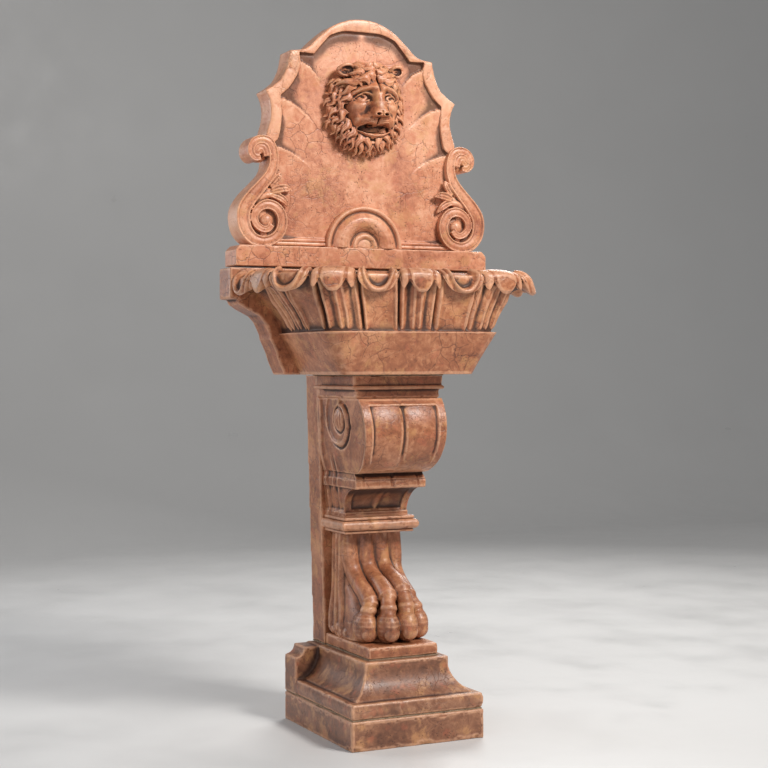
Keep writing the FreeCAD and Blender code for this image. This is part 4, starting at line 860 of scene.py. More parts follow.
# %% [markdown]
# The side scrolls are bands that run from a small curl down to a large one.
# Each band has a raised edge on both sides and a soft swelling between them.
# A cross section is swept along the curl and gets narrower towards the eye.
# Overlapping turns don't matter, because the pieces are melted into one skin
# after they are built.

# %% Paths and bands


def smooth_path(stations, steps=8):
    """Evenly curved places through stations of any number of values."""
    stations = np.array(stations, dtype=float)
    padded = np.vstack([2 * stations[0] - stations[1], stations, 2 * stations[-1] - stations[-2]])
    places = []
    for index in range(len(stations) - 1):
        before, start, end, after = padded[index:index + 4]
        for step in range(steps):
            part = step / steps
            places.append(0.5 * (2 * start + (end - before) * part
                                 + (2 * before - 5 * start + 4 * end - after) * part ** 2
                                 + (3 * start - before - 3 * end + after) * part ** 3))
    places.append(stations[-1])
    return np.array(places)


def loose_stack(parts, rings):
    """Add a closed stack of rings to a list of corners and faces."""
    corners, faces = parts
    start = len(corners)
    count, around = len(rings), len(rings[0])
    for ring in rings:
        corners.extend(tuple(place(*corner)) for corner in ring)
    for row in range(count - 1):
        for step in range(around):
            after = (step + 1) % around
            low, high = start + row * around, start + (row + 1) * around
            faces.append((low + step, low + after, high + after, high + step))
    faces.append(tuple(start + step for step in reversed(range(around))))
    faces.append(tuple(start + (count - 1) * around + step for step in range(around)))


def band(parts, stations, back, front, steps=8):
    """A flat curling band. A station is (x, z, half width)."""
    path = smooth_path(stations, steps)
    along = np.gradient(path[:, :2], axis=0)
    along /= np.linalg.norm(along, axis=1, keepdims=True)
    across = np.column_stack([along[:, 1], -along[:, 0]])
    section = [(-1.0, back), (-1.0, front - 3), (-0.95, front - 0.6), (-0.86, front), (-0.76, front - 0.8),
               (-0.66, front - 4.2), (-0.4, front - 2.6), (0, front - 1.6), (0.4, front - 2.6),
               (0.66, front - 4.2), (0.76, front - 0.8), (0.86, front), (0.95, front - 0.6),
               (1.0, front - 3), (1.0, back)]
    rings = []
    for (x, z, half), (turn_x, turn_z) in zip(path, across):
        rings.append([(x + turn_x * half * share, depth, z + turn_z * half * share)
                      for share, depth in section])
    loose_stack(parts, rings)


def limb(parts, stations, steps=6, around=12, flat=1.0):
    """A rounded strand. A station is (x, depth, height, radius)."""
    path = smooth_path(stations, steps)
    along = np.gradient(path[:, :3], axis=0)
    along /= np.linalg.norm(along, axis=1, keepdims=True)
    guide = np.array([0.03, 1.0, 0.05])
    side = np.cross(along, guide)
    side /= np.linalg.norm(side, axis=1, keepdims=True)
    lift = np.cross(side, along)
    ends = [(-0.97, 0.26), (-0.7, 0.72)]
    rings = []
    for back_share, size in ends:
        tip = path[0, :3] + along[0] * path[0, 3] * back_share
        rings.append((tip, side[0], lift[0], path[0, 3] * size))
    for index in range(len(path)):
        rings.append((path[index, :3], side[index], lift[index], path[index, 3]))
    for back_share, size in reversed(ends):
        tip = path[-1, :3] - along[-1] * path[-1, 3] * back_share
        rings.append((tip, side[-1], lift[-1], path[-1, 3] * size))
    turn = np.arange(around) * 2 * math.pi / around
    loose_stack(parts, [[tuple(middle + wide * math.cos(t) * radius + high * math.sin(t) * radius * flat)
                         for t in turn] for middle, wide, high, radius in rings])


def ball(parts, middle, radii, around=20):
    """A rounded lump with three radii."""
    rings = []
    for tilt in np.linspace(-math.pi / 2, math.pi / 2, 12)[1:-1]:
        turn = np.arange(around) * 2 * math.pi / around
        rings.append([(middle[0] + radii[0] * math.cos(tilt) * math.cos(t),
                       middle[1] + radii[1] * math.cos(tilt) * math.sin(t),
                       middle[2] + radii[2] * math.sin(tilt)) for t in turn])
    loose_stack(parts, rings)


def mirrored_parts(parts):
    """The same loose parts on the other side of the middle."""
    corners, faces = parts
    return [(-x, y, z) for x, y, z in corners], [tuple(reversed(face)) for face in faces]


print("bands, limbs and balls are ready")

# %% The scroll on the right
scroll_front = 129.0
curl = ([], [])
band(curl, [(291, 1470, 5), (299, 1466, 6), (302, 1475, 7), (295, 1484, 8), (281, 1484, 9), (273, 1472, 10),
            (270, 1460, 11)], 60, scroll_front, 10)
band(curl, [(288, 1455, 5.5), (303, 1453, 7), (314, 1464, 8), (315, 1481, 9), (303, 1497, 10),
            (282, 1502, 11), (263, 1494, 11.5), (254, 1470, 12.5), (254, 1440, 13), (266, 1411, 14),
            (289, 1383, 15.5), (316, 1353, 17.5), (334, 1325, 18), (337, 1297, 18), (329, 1270, 17.5),
            (310, 1250, 16), (284, 1244, 13.5), (258, 1250, 13.5), (239, 1267, 13.5), (231, 1290, 13.5),
            (234, 1313, 13.5), (248, 1331, 13), (270, 1338, 12.5), (291, 1331, 11), (304, 1315, 10),
            (306, 1297, 9.5), (298, 1283, 9), (284, 1275, 8.5), (270, 1276, 8),
            (260, 1288, 8)], 60, scroll_front, 9)
ball(curl, (272, 98, 1297), (66, 19, 62), 32)
ball(curl, (291, 100, 1474), (30, 18, 30), 24)
ball(curl, (272, 118, 1297), (17, 10, 17))
ball(curl, (291, 120, 1474), (11, 8, 11))
limb(curl, [(236, 112, 1352, 7), (252, 116, 1362, 8), (276, 118, 1360, 8), (298, 116, 1346, 6)])
print(len(curl[0]), "corners")

# %% [markdown]
# A sprig of three leaves fills the angle between the band and the large curl.
# Each leaf is a thin pad with a raised rim and a vein down its middle.

# %% The scroll's leaves


def leaflet(parts, stations, thick=5.0):
    """A leaf on a path. A station is (x, depth, height, half width)."""
    path = smooth_path(stations, 7)
    along = np.gradient(path[:, :3], axis=0)
    along /= np.linalg.norm(along, axis=1, keepdims=True)
    side = np.cross(along, np.array([0.0, 1.0, 0.0]))
    side /= np.linalg.norm(side, axis=1, keepdims=True)
    rings = []
    right_half = [(0.1, 0.45), (0.25, 0.05), (0.55, 0.25), (0.78, 0.9), (0.9, 0.75), (1.0, 0.1), (1.0, -1.0)]
    section = [(-share, rise) for share, rise in reversed(right_half)] + [(0, 0.6)] + right_half
    for (x, depth, z, half), (turn_x, _, turn_z) in zip(path, side):
        rings.append([(x + turn_x * half * share, depth + thick * rise, z + turn_z * half * share)
                      for share, rise in section])
    loose_stack(parts, rings)


for stations in (
        [(262, 121, 1384, 5), (250, 124, 1396, 9), (241, 127, 1408, 9), (236, 124, 1420, 2)],
        [(258, 121, 1372, 6), (242, 125, 1378, 10), (222, 129, 1380, 9.5), (204, 123, 1377, 2)],
        [(262, 120, 1362, 5), (244, 123, 1360, 9), (226, 126, 1349, 8.5), (214, 120, 1334, 2)]):
    leaflet(curl, stations)
limb(curl, [(242, 112, 1372, 8), (258, 114, 1372, 10), (282, 114, 1368, 8)], flat=0.7)

for side_name, parts in (("right", curl), ("left", mirrored_parts(curl))):
    scroll = mesh_piece("scroll_" + side_name, *parts)
    one_skin(scroll, 1.7, 2)
    weather(scroll, 0.8, 41)
    apply_modifier(scroll, "DECIMATE", ratio=0.5)
    finish_stone(scroll, panel_marble, "back_panel", 16, 2.0)
    print(scroll.name, len(scroll.data.polygons), "faces")

# %% [markdown]
# The ledge under the panel is a plain block. Its upper corners are knocked off
# at both ends, and a thin mortar joint shows under it.

# %% The ledge
ledge_right = [(358, 1181), (358, 1221), (346, ledge_top)]
ledge_outline = ledge_right + [(-x, z) for x, z in reversed(ledge_right)]
ledge = sheet_of("panel_ledge", ledge_outline, stand_off, rail_front)
one_skin(ledge, 2.4, 3)
weather(ledge, 2.6, 43)
apply_modifier(ledge, "DECIMATE", ratio=0.45)
finish_stone(ledge, panel_marble, "back_panel", 26, 2.4)

# %% [markdown]
# The lion mask spouts the water. Its face is a height field: for each place on
# a fine grid, a sum of bumps, ridges and grooves says how far the stone stands
# out. That gives close control over the brow, eyes, nose, pads and lips.

# %% The lion's face
head = ([], [])
face_x = 16.0
mouth_depth = 120.0


def bump(x, z, middle_x, middle_z, wide, high, power=1.0):
    """A round bump that fades away from its middle."""
    return np.exp(-(((x - middle_x) / wide) ** 2 + ((z - middle_z) / high) ** 2) ** power)


def soft(value, width):
    """A soft step from 0 to 1 as the value rises past 0."""
    return 1 / (1 + np.exp(-np.clip(value / width, -40, 40)))


def skull(away, z):
    """The rounded brow, cheeks and jaw, without features."""
    levels = [1496, 1510, 1526, 1545, 1565, 1585, 1605, 1625, 1645, 1665, 1685, 1702, 1716]
    middle = np.interp(z, levels, [134, 142, 147, 156, 163, 168, 173, 177, 178, 172, 158, 146, 134])
    half = np.interp(z, [1496, 1515, 1545, 1580, 1620, 1660, 1690, 1716], [38, 50, 62, 72, 77, 74, 64, 48])
    return 110 + (middle - 110) * np.sqrt((1 - (away / (half + 3)) ** 2).clip(0)) ** 0.75


def nose(x, away, z):
    """The bridge, its nostrils and the fine line between them."""
    bridge = np.interp(z, [1562, 1566, 1569, 1576, 1584, 1596, 1612, 1634, 1650, 1662],
                       [0, 5, 30, 37, 37, 30, 22, 14, 8, 0])
    bridge_half = np.interp(z, [1562, 1572, 1580, 1592, 1610, 1630, 1656], [20, 25, 25, 21, 18, 17, 15])
    rise = bridge * soft(bridge_half - away, 3.6)
    rise -= 17 * bump(away, z, 11.5, 1572.5, 5.5, 3.4, 1.4)
    rise -= 5 * bump(away, z, 24, 1574, 3, 8)
    rise -= 2.5 * hump(x, 0, 1.6) * soft(z - 1568, 1) * soft(1582 - z, 2)
    return rise


def muzzle(x, away, z):
    """Two pads with a cleft between them and rows for the whiskers."""
    rise = 28 * bump(away, z, 21, 1560, 27, 16, 1.25)
    rise -= 8 * hump(x, 0, 2.6) * soft(z - 1547, 1.5) * soft(1568 - z, 1.5)
    for row in (1551.5, 1556.5, 1561.5):
        line = row + 0.012 * (away - 14) ** 2
        rise -= 1.5 * hump(z, line, 1.0) * soft(away - 8, 2) * soft(36 - away, 3)
    return rise


def eyes_and_brows(x, away, wide, z):
    """Cheekbones, sockets, eyeballs between their lids, and the brows over them."""
    rise = 9 * bump(wide, z, 38, 1594, 16, 17)
    rise -= 2 * bump(away, z, 30, 1592, 6, 14)
    rise -= 19 * bump(wide, z, 31, 1620, 17, 10)
    rise += 13 * np.sqrt((1 - ((wide - 32) / 12) ** 2 - ((z - 1619) / 8.5) ** 2).clip(0))
    upper_lid = 1629.0 - 0.034 * (wide - 28) ** 2 - 0.16 * (wide - 31)
    lower_lid = 1609.5 + 0.020 * (wide - 31) ** 2
    window = soft(wide - 16, 1.2) * soft(49 - wide, 1.5)
    rise += 6.5 * hump(z, upper_lid, 2.1) * window
    rise += 4.2 * hump(z, lower_lid, 1.9) * window
    rise -= 3.5 * bump(wide, z, 30, 1619, 3.2, 3.2)
    rise -= 6 * bump(wide, z, 15.5, 1613, 3, 7)
    brow = np.interp(wide, [0, 5, 18, 34, 54], [1640, 1642, 1644, 1639, 1624])
    rise += 10 * hump(z, brow, 8.0) * soft(wide - 4, 2) * soft(57 - wide, 3)
    rise += 6 * bump(wide, z, 18, 1662, 14, 12, 1.2)
    rise -= 7 * hump(x, 0, 3.4) * soft(z - 1636, 4) * soft(1698 - z, 5)
    return rise


def jaw(x, away, z):
    """The jowls, the lower lip and the chin."""
    rise = 8 * bump(away, z, 54, 1560, 8, 18)
    lower_lip = np.interp(away, [0, 25, 46], [1524, 1527, 1538])
    rise += 12 * hump(z, lower_lip, 5.2) * soft(48 - away, 3)
    rise -= 5 * bump(x, z, 0, 1514, 30, 3.5)
    rise += 6 * bump(x, z, 0, 1505, 20, 7)
    return rise


def face_depth(x, z):
    """How far the face stands out from the wall; x is measured from its middle."""
    away = np.abs(x)
    wide = away / 1.3
    depth = skull(away, z) + nose(x, away, z) + muzzle(x, away, z)
    depth += eyes_and_brows(x, away, wide, z) + jaw(x, away, z)
    top_lip = np.interp(away, [0, 10, 26, 42, 50], [1547.5, 1550, 1551.5, 1546, 1538])
    low_lip = np.interp(away, [0, 20, 38, 48], [1531.5, 1532, 1535.5, 1539])
    depth += 3.5 * hump(z, top_lip + 2, 2.0) * soft(46 - away, 3)
    inside = soft(top_lip - z, 0.7) * soft(z - low_lip, 0.7) * soft(46 - away, 1.2)
    return depth * (1 - inside) + mouth_depth * inside


def relief_block(parts, across, up, depth, back):
    """A closed block whose front follows a height field on a grid."""
    corners, faces = parts
    start = len(corners)
    rows, columns = depth.shape
    for row in range(rows):
        for column in range(columns):
            corners.append(tuple(place(across[column], depth[row, column], up[row])))
    for row in range(rows):
        for column in range(columns):
            corners.append(tuple(place(across[column], back, up[row])))
    behind = start + rows * columns
    for row in range(rows - 1):
        for column in range(columns - 1):
            low = row * columns + column
            quad = (low, low + 1, low + columns + 1, low + columns)
            faces.append(tuple(start + corner for corner in quad))
            faces.append(tuple(behind + corner for corner in reversed(quad)))
    rim = list(range(columns))
    rim += [row * columns + columns - 1 for row in range(1, rows)]
    rim += [(rows - 1) * columns + column for column in range(columns - 2, -1, -1)]
    rim += [row * columns for row in range(rows - 2, 0, -1)]
    for corner, after in zip(rim, rim[1:] + rim[:1]):
        faces.append((start + corner, behind + corner, behind + after, start + after))


face_across = np.arange(-78, 78.1, 1.0)
face_up = np.arange(1497, 1714.1, 1.0)
grid_x, grid_z = np.meshgrid(face_across, face_up)
face_heights = np.maximum(face_depth(grid_x, grid_z), 106.5)
relief_block(head, face_across + face_x, face_up, face_heights, 104)
ball(head, (0, 112, 1597), (104, 26, 114), around=48)
ball(head, (face_x - 6, 122, 1600), (80, 22, 98), around=40)
print(len(head[0]), "corners")

# %% [markdown]
# The ears are hooded cups that peep out of the hair. The mane grows in rows. A
# lock is a clump of strands that leaves the face, swings like an S and falls
# with the weight of the hair: sideways at the crown, down at the cheeks. A
# seeded random number generator varies them, so that the carving comes out the
# same each time.

# %% The lion's mane
hair = np.random.default_rng(11)
mane_x, mane_z = 2, 1604
for x, depth, z, wide in ((-60, 133, 1689, 23), (84, 130, 1694, 17)):
    ball(head, (x, depth, z), (wide, 20, 17), 28)
    limb(head, [(x - wide * 0.9, depth + 6, z - 2, 4.5), (x - wide * 0.5, depth + 15, z - 11, 4.5),
                (x + wide * 0.1, depth + 19, z - 13, 4.5), (x + wide * 0.7, depth + 18, z - 6, 4.5),
                (x + wide * 0.9, depth + 14, z + 6, 4.5)])
    limb(head, [(x - wide * 0.9, depth + 8, z + 2, 5), (x - wide * 0.3, depth + 16, z + 12, 6),
                (x + wide * 0.4, depth + 17, z + 13, 6), (x + wide * 0.9, depth + 14, z + 7, 5)])


def lock(root, heading, length, end_depth, strands=5, gap=3.6, swing=6.0, radius=3.1):
    """A clump of strands from a root; the heading is (right, up)."""
    forward = np.array(heading, dtype=float)
    forward /= np.linalg.norm(forward)
    across = np.array([forward[1], -forward[0]])
    turn = swing * hair.choice([-1.0, 1.0]) * hair.uniform(0.7, 1.2)
    curl_in = hair.uniform(0.5, 1.0)
    for number in range(strands):
        offset = (number - (strands - 1) / 2) * gap
        size = length * (1 - 0.07 * abs(number - (strands - 1) / 2)) * hair.uniform(0.94, 1.06)
        lift = 2.2 * math.cos(number / max(strands - 1, 1) * math.pi - math.pi / 2) + hair.uniform(-0.8, 0.8)
        stations = []
        for part in (0.0, 0.2, 0.4, 0.6, 0.8, 1.0):
            sway = turn * math.sin(part * 2 * math.pi * 0.9) + turn * curl_in * max(0.0, part - 0.6) * 3
            pinch = 1.0 - 0.85 * max(0.0, part - 0.35) / 0.65
            spread = forward * size * part + across * (offset * pinch + sway)
            depth = root[1] + (end_depth - root[1]) * part ** 1.5 + 6 * math.sin(math.pi * part) + lift
            thick = radius * (1.0 if part < 0.65 else 1.0 - 1.7 * (part - 0.65))
            stations.append((root[0] + spread[0], depth, root[2] + spread[1], thick))
        limb(head, stations, steps=4, around=8)


def mane_row(count, reach_x, reach_z, depth, length, end_depth, start, radius):
    """Locks round the face. A share of 0 is straight up and shares run clockwise."""
    for number in range(count):
        angle = (number + start) / count * 2 * math.pi
        right, up = math.sin(angle), math.cos(angle)
        if up > 0.72:
            continue
        fall = 1.15 if up > -0.55 else 0.7
        heading = (right * 0.9, up * 0.45 - fall * (1 - max(0.0, up) * 0.8))
        size = length * hair.uniform(0.9, 1.15)
        root = (mane_x + reach_x * right, depth, mane_z + reach_z * up)
        lock(root, heading, size, end_depth, radius=radius)


mane_row(19, 66, 78, 142, 42, 136, 0.5, 3.0)
mane_row(23, 80, 88, 134, 42, 128, 0.15, 3.1)
mane_row(25, 91, 97, 124, 38, 116, 0.6, 3.3)
for root, heading, length, end_depth in (
        ((-36, 170, 1664), (-1.0, -0.25), 60, 140), ((-42, 162, 1648), (-1.0, -0.6), 54, 138),
        ((-50, 150, 1630), (-0.9, -0.8), 46, 138), ((-22, 170, 1678), (-1.0, 0.1), 50, 138),
        ((-10, 166, 1692), (-1.0, 0.25), 50, 130), ((2, 160, 1704), (-1.0, 0.05), 46, 122),
        ((12, 158, 1706), (1.0, 0.0), 48, 122), ((26, 168, 1692), (1.0, 0.15), 46, 128),
        ((36, 172, 1678), (1.0, 0.05), 50, 134), ((54, 168, 1664), (1.0, -0.3), 46, 132),
        ((72, 150, 1650), (0.8, -0.7), 40, 128), ((84, 138, 1630), (0.5, -1.0), 44, 124),
        ((4, 178, 1668), (-1.0, 0.3), 44, 158), ((16, 178, 1668), (1.0, 0.3), 44, 156),
        ((-30, 172, 1656), (-1.0, 0.05), 44, 150), ((58, 172, 1656), (1.0, 0.0), 34, 144),
        ((4, 174, 1684), (-1.0, 0.35), 44, 146), ((16, 174, 1684), (1.0, 0.35), 44, 144),
        ((-12, 180, 1660), (-1.0, 0.2), 44, 160), ((34, 180, 1660), (1.0, 0.2), 44, 158)):
    lock(root, heading, length, end_depth, swing=5.0, radius=3.1)
for x, length in ((-44, 34), (-28, 36), (-11, 38), (6, 40), (23, 38), (40, 36), (55, 34)):
    lock((x, 134, 1508 + abs(x - 6) * 0.28), ((x - 6) / 90, -1.0), length, 122, swing=4.0, radius=3.3)
print(len(head[0]), "corners")

# %% [markdown]
# The loose shapes become one skin. Pressing moves the corners near a place
# inwards, which hollows the ears.

# %% Melt and press the mask


def press(thing, places):
    """Push the skin in. A place is (x, depth, height, radius, amount), all in millimetres."""
    corners = corners_of(thing)
    normals = normals_of(thing)
    move = np.zeros(len(corners))
    for x, depth, z, radius, amount in places:
        away = np.linalg.norm(corners - np.array(place(x, depth, z)), axis=1) / (radius * MM)
        move += amount * MM * np.exp(-away ** 2)
    set_corners(thing, corners - normals * move[:, None])


mask = mesh_piece("mask_head", *head)
one_skin(mask, 1.3, 1)
dents = [(-54, 150, 1689, 8, 10), (-61, 150, 1687, 8, 10), (-68, 148, 1687, 7, 7),
         (87, 146, 1694, 7, 9), (80, 147, 1693, 6, 7)]
press(mask, dents)
weather(mask, 0.25, 47)
apply_modifier(mask, "DECIMATE", ratio=0.55)
finish_stone(mask, mask_marble, "lion_mask", 12, 1.0)
print(len(mask.data.polygons), "faces")

# %% [markdown]
# The console carries the basin. It is a stack of level rings again: each ring
# runs forwards along the right side, across the front and back along the left.
# The front swells into a big round nose between two raised bands, and each side
# carries a spiral.

# %% Level rings for the pedestal
pedestal_back = 78.0


def level_ring(half, front, up, corner, sides=30, fronts=70, back=pedestal_back):
    """Places of one ring, and the way that the stone faces at each place."""
    bend = np.linspace(0, math.pi / 2, 7)[1:-1]
    right = np.column_stack([np.full(sides, half), np.linspace(back, front - corner, sides)])
    turned = np.column_stack([half - corner + corner * np.cos(bend), front - corner + corner * np.sin(bend)])
    face = np.column_stack([np.linspace(half - corner, corner - half, fronts), np.full(fronts, front)])
    flip = np.array([-1.0, 1.0])
    places = np.vstack([right, turned, face, turned[::-1] * flip, right[::-1] * flip])
    right_way = np.tile([1.0, 0.0], (sides, 1))
    corner_way = np.column_stack([np.cos(bend), np.sin(bend)])
    front_way = np.tile([0.0, 1.0], (fronts, 1))
    facing = np.vstack([right_way, corner_way, front_way, corner_way[::-1] * flip, right_way * flip])
    return np.column_stack([places, np.full(len(places), up)]), facing


def moulded_course(name, steps, corner, chips, seed):
    """A course from (half width, front, height) steps, rows filled in between them."""
    filled = [steps[0]]
    for start, end in zip(steps, steps[1:]):
        count = max(1, int(math.dist(start, end) / 1.6))
        for step in range(1, count + 1):
            filled.append(tuple(a + (b - a) * step / count for a, b in zip(start, end)))
    rings = np.array([level_ring(half, front, up, corner, 60, 96)[0] for half, front, up in filled])
    stone = ring_mesh(name, rings)
    weather(stone, chips, seed)
    finish_stone(stone, pedestal_marble, "console_leg", 24, 2.4)


print("level rings ready")

# %% The console's profile and relief
eye_out, eye_up = 210, 792


def console_front(up):
    """How far the console's front stands out at each height."""
    scoop = 187 + 78 * (1 - np.sqrt(1 - ((up - 556) / 62).clip(0, 1) ** 2))
    volute = 261.5 + 105 * np.sqrt(1 - ((up - 765) / 108.5).clip(-1, 1) ** 2)
    fillet = 277 - 1.2 * ((up - 630) / 9) ** 4
    ledge = 277 - (up - 641) * 0.9
    plinth = np.full_like(up, 190.0)
    parts = [up < 553.5, up < 618, up < 641, up < 656.5]
    return np.select(parts, [plinth, scoop, fillet, ledge], volute)


def console_half(up):
    return np.interp(up, [541, 553, 553.6, 590, 617.6, 618.2, 640, 643, 656, 657, 697, 734, 802, 846],
                     [89, 89, 87.5, 92.5, 94.5, 98, 98, 96, 95, 97, 107, 111, 114.4, 116])


def front_relief(share, up):
    """Raised side bands, two swelling panels with a valley between, and the neck's sunk panels."""
    reach = np.abs(share)
    ground = np.clip((up - 676) / 34, 0, 1) * np.clip((829 - up) / 3.0, 0, 1)
    inside = 1 / (1 + np.exp((reach - 0.79) / 0.008))
    swell = 6.2 * (1 - ((reach - 0.40) / 0.42) ** 2).clip(0) ** 0.8
    valley = 3.2 * hump(share, -0.02, 0.045)
    panels = inside * ground * (swell - 7.5 - valley)
    brow = 1.6 * hump(up, 831.5, 2.4) * inside
    lean = (up - 585) / 400
    rib = 3.2 * hump(share, lean, 0.08)
    scoop_ground = np.clip((up - 558) / 5, 0, 1) * np.clip((616 - up) / 6, 0, 1)
    scoop = scoop_ground * inside * (rib - 3.4)
    fillet_ground = np.clip((up - 617) / 2, 0, 1) * np.clip((655 - up) / 3, 0, 1)
    fillet = -fillet_ground * (4.5 * hump(share, 0.05, 0.06) + 1.5 * hump(reach, 0.78, 0.03))
    tail_ground = np.clip((700 - up) / 30, 0, 1) * np.clip((up - 657) / 10, 0, 1)
    tail = -2.0 * hump(share, 0, 0.08) * tail_ground
    return panels + brow + scoop + fillet + tail


def side_relief(out, up):
    """A spiral about a button, a sunk field, and a fillet up the rear edge."""
    from_eye, over_eye = out - eye_out, up - eye_up
    away = np.hypot(from_eye, over_eye)
    sweep = (math.pi / 2 - np.arctan2(over_eye, from_eye)) % (2 * math.pi)
    line = np.interp(sweep, np.array([0, 0.5, 1, 1.5, 2]) * math.pi, [41, 51, 69, 83, 94])
    button = 8.0 * (1 - (away / 29) ** 2).clip(0) ** 0.6 - 3.5 * hump(away, 33, 3.4)
    button += 1.2 * np.cos(from_eye * 0.55) * hump(away, 0, 22)
    spiral = 4.5 * hump(away, line - 8, 5.0) - 5.0 * hump(away, line + 2, 3.6)
    spiral *= np.clip((out - 96) / 8, 0, 1) * np.clip((console_front(up) - out - 8) / 8, 0, 1)
    rim = np.clip((console_front(up) - out - 7) / 4, 0, 1)
    field = -3.5 * rim * np.clip((away - line) / 5, 0, 1) * np.clip((up - 556) / 5, 0, 1)
    rear = 7.0 / (1 + np.exp((out - 96 - 4 * np.sin(up / 40)) / 1.6))
    folds = 2.6 * hump(out, 128, 7) + 3.0 * hump(out, 158, 8) - 2.0 * hump(out, 143, 6)
    return button + spiral + field + rear + folds * np.clip((712 - up) / 40, 0, 1)


print("the spiral turns about", (eye_out, eye_up))

# %% The console
hard_levels = [541, 541.8, 553.2, 553.8, 617.7, 618.3, 640.7, 641.3, 655.8, 656.6, 657.4, 845.2, 846]
console_levels = []
for low, high in zip(hard_levels, hard_levels[1:]):
    console_levels += list(np.linspace(low, high, max(1, round((high - low) / 1.9)), endpoint=False))
console_levels = np.array(console_levels + [846.0])
rings = []
for up, front, half in zip(console_levels, console_front(console_levels), console_half(console_levels)):
    ring, facing = level_ring(half, front, up, 2.2, 110, 130)
    flat = np.full(len(ring), up)
    at_front = np.abs(facing[:, 1]) > 0.5
    push = np.where(at_front, front_relief(ring[:, 0] / half, flat), side_relief(ring[:, 1], flat))
    ring[:, :2] += facing * push[:, None]
    rings.append(ring)
console = ring_mesh("console_nose", np.array(rings))
weather(console, 1.6, 53)
finish_stone(console, pedestal_marble, "console_leg", 26, 2.6)

# %% The cap, the waist and the foot slab
cap_steps = [(40, 150, 845), (111, 313, 845), (115, 317, 847.5), (116.5, 318, 850), (116.5, 318, 866),
             (119, 320, 868.5), (125.5, 325, 869), (127.2, 326.8, 871), (127.2, 326.8, 875.5),
             (125.5, 325.2, 877.5), (122.5, 322, 879), (124, 323.5, 902.5), (60, 180, 902.5)]
moulded_course("console_cap", cap_steps, 5.0, 2.4, 57)
torus = [(98.5 + 10.5 * math.cos(t), 208.5 + 10.5 * math.cos(t), 520 + 12.5 * math.sin(t))
         for t in np.linspace(-math.pi / 2, math.pi / 2, 11)]
under_torus = [(40, 120, 499.5), (96, 206, 499.5), (98, 208, 501), (98, 208, 505), (95.5, 205.5, 507)]
over_torus = [(96, 206, 533.5), (99.5, 209.5, 534.5), (99.5, 209.5, 539.5), (97, 207, 541.5),
              (40, 120, 541.5)]
moulded_course("console_waist", under_torus + torus + over_torus, 4.0, 2.2, 59)
slab_steps = [(40, 150, 203.5), (94, 342, 203.5), (95.8, 343.8, 205.5), (95.8, 343.8, 226),
              (94.5, 342.5, 230), (91, 339, 232), (40, 150, 232)]
moulded_course("foot_slab", slab_steps, 4.0, 2.6, 61)

# %% [markdown]
# The leg is a lion's. Tendons run down its shank like folds of cloth, turn
# forwards over the paw, swell into knuckles and end in four plump toes. It is
# roughed out of limbs and balls and melted into one skin.

# %% The lion's leg
leg_foot, leg_top = 231.5, 501
shank = ([], [])


def shank_ring(half, front, up, bow=3.4, around=56):
    """A level ring of a rounded block that starts at the pedestal's slab."""
    turn = np.arange(around) * 2 * math.pi / around
    middle, reach = (pedestal_back + front) / 2, (front - pedestal_back) / 2
    across = np.sign(np.cos(turn)) * np.abs(np.cos(turn)) ** (2 / bow) * half
    out = middle + np.sign(np.sin(turn)) * np.abs(np.sin(turn)) ** (2 / bow) * reach
    return [(x, depth, up) for x, depth in zip(across, out)]


shank_rows = ((80, 169, 504), (80, 171, 448), (78, 177, 400), (78, 195, 366), (80, 233, 336), (86, 268, 306),
              (92, 286, 276), (94, 290, 250), (94, 282, 233))
loose_stack(shank, [shank_ring(*row) for row in shank_rows])
toes = (
    ((-58, 146, 506), (-60, 154, 440), (-56, 164, 402), (-54, 192, 374), (-50, 226, 350), (-48, 249, 330),
     (-60, 264, 312), (-66, 258, 270), 31, 42),
    ((-20, 152, 506), (-20, 160, 440), (-15, 168, 410), (-12, 196, 386), (-9, 238, 366), (-8, 270, 345),
     (-17, 292, 318), (-22, 296, 272), 30, 40),
    ((22, 152, 506), (24, 158, 440), (28, 166, 414), (31, 192, 392), (34, 232, 376), (35, 264, 356),
     (32, 292, 322), (28, 298, 274), 30, 40),
    ((62, 146, 506), (64, 152, 440), (62, 160, 404), (64, 184, 374), (63, 216, 354), (62, 242, 337),
     (70, 262, 314), (74, 264, 272), 30, 40),
)
for top, calf, ankle, turn_in, instep, knuckle, joint, toe, wide, deep in toes:
    tendon = [(*top, 23), (*calf, 23), (*ankle, 22), (*turn_in, 21), (*instep, 22), (*knuckle, 24)]
    limb(shank, tendon, 8, 20)
    ball(shank, knuckle, (22, 21, 19))
    limb(shank, [(*knuckle, 19), (*joint, 19), (toe[0], toe[1] + 4, toe[2] + 16, 22)], 6, 20)
    ball(shank, (joint[0], joint[1] + 2, joint[2]), (22, 20, 17))
    ball(shank, toe, (wide, deep, 41), 32)
    ball(shank, (toe[0], toe[1] + deep - 14, toe[2] - 12), (wide * 0.72, 14, 22), 24)
tufts = ((84, 176, 262, 17), (86, 150, 256, 14), (88, 128, 250, 12), (86, 160, 240, 13),
         (84, 196, 246, 17), (88, 138, 268, 10), (86, 112, 246, 12))
for way in (-1, 1):
    for rear, spread, size in ((142, 168, 15), (116, 132, 13), (93, 97, 12)):
        fold = [(70, rear, 506, size), (72, rear, 430, size), (74, rear + 3, 350, size + 1),
                (80, spread, 290, size + 3), (84, spread + 6, 250, size + 2)]
        limb(shank, [(way * x, depth, up, radius) for x, depth, up, radius in fold], 8, 18)
    for x, depth, up, size in tufts:
        ball(shank, (way * x, depth, up), (size * 0.9, size, size))
shank_stone = mesh_piece("lion_leg", *shank)
one_skin(shank_stone, 1.9, 6)
corners = corners_of(shank_stone)
corners[:, 2] = corners[:, 2].clip(leg_foot * MM, leg_top * MM)
corners[:, 1] = corners[:, 1].clip(None, wall_y - pedestal_back * MM)
set_corners(shank_stone, corners)
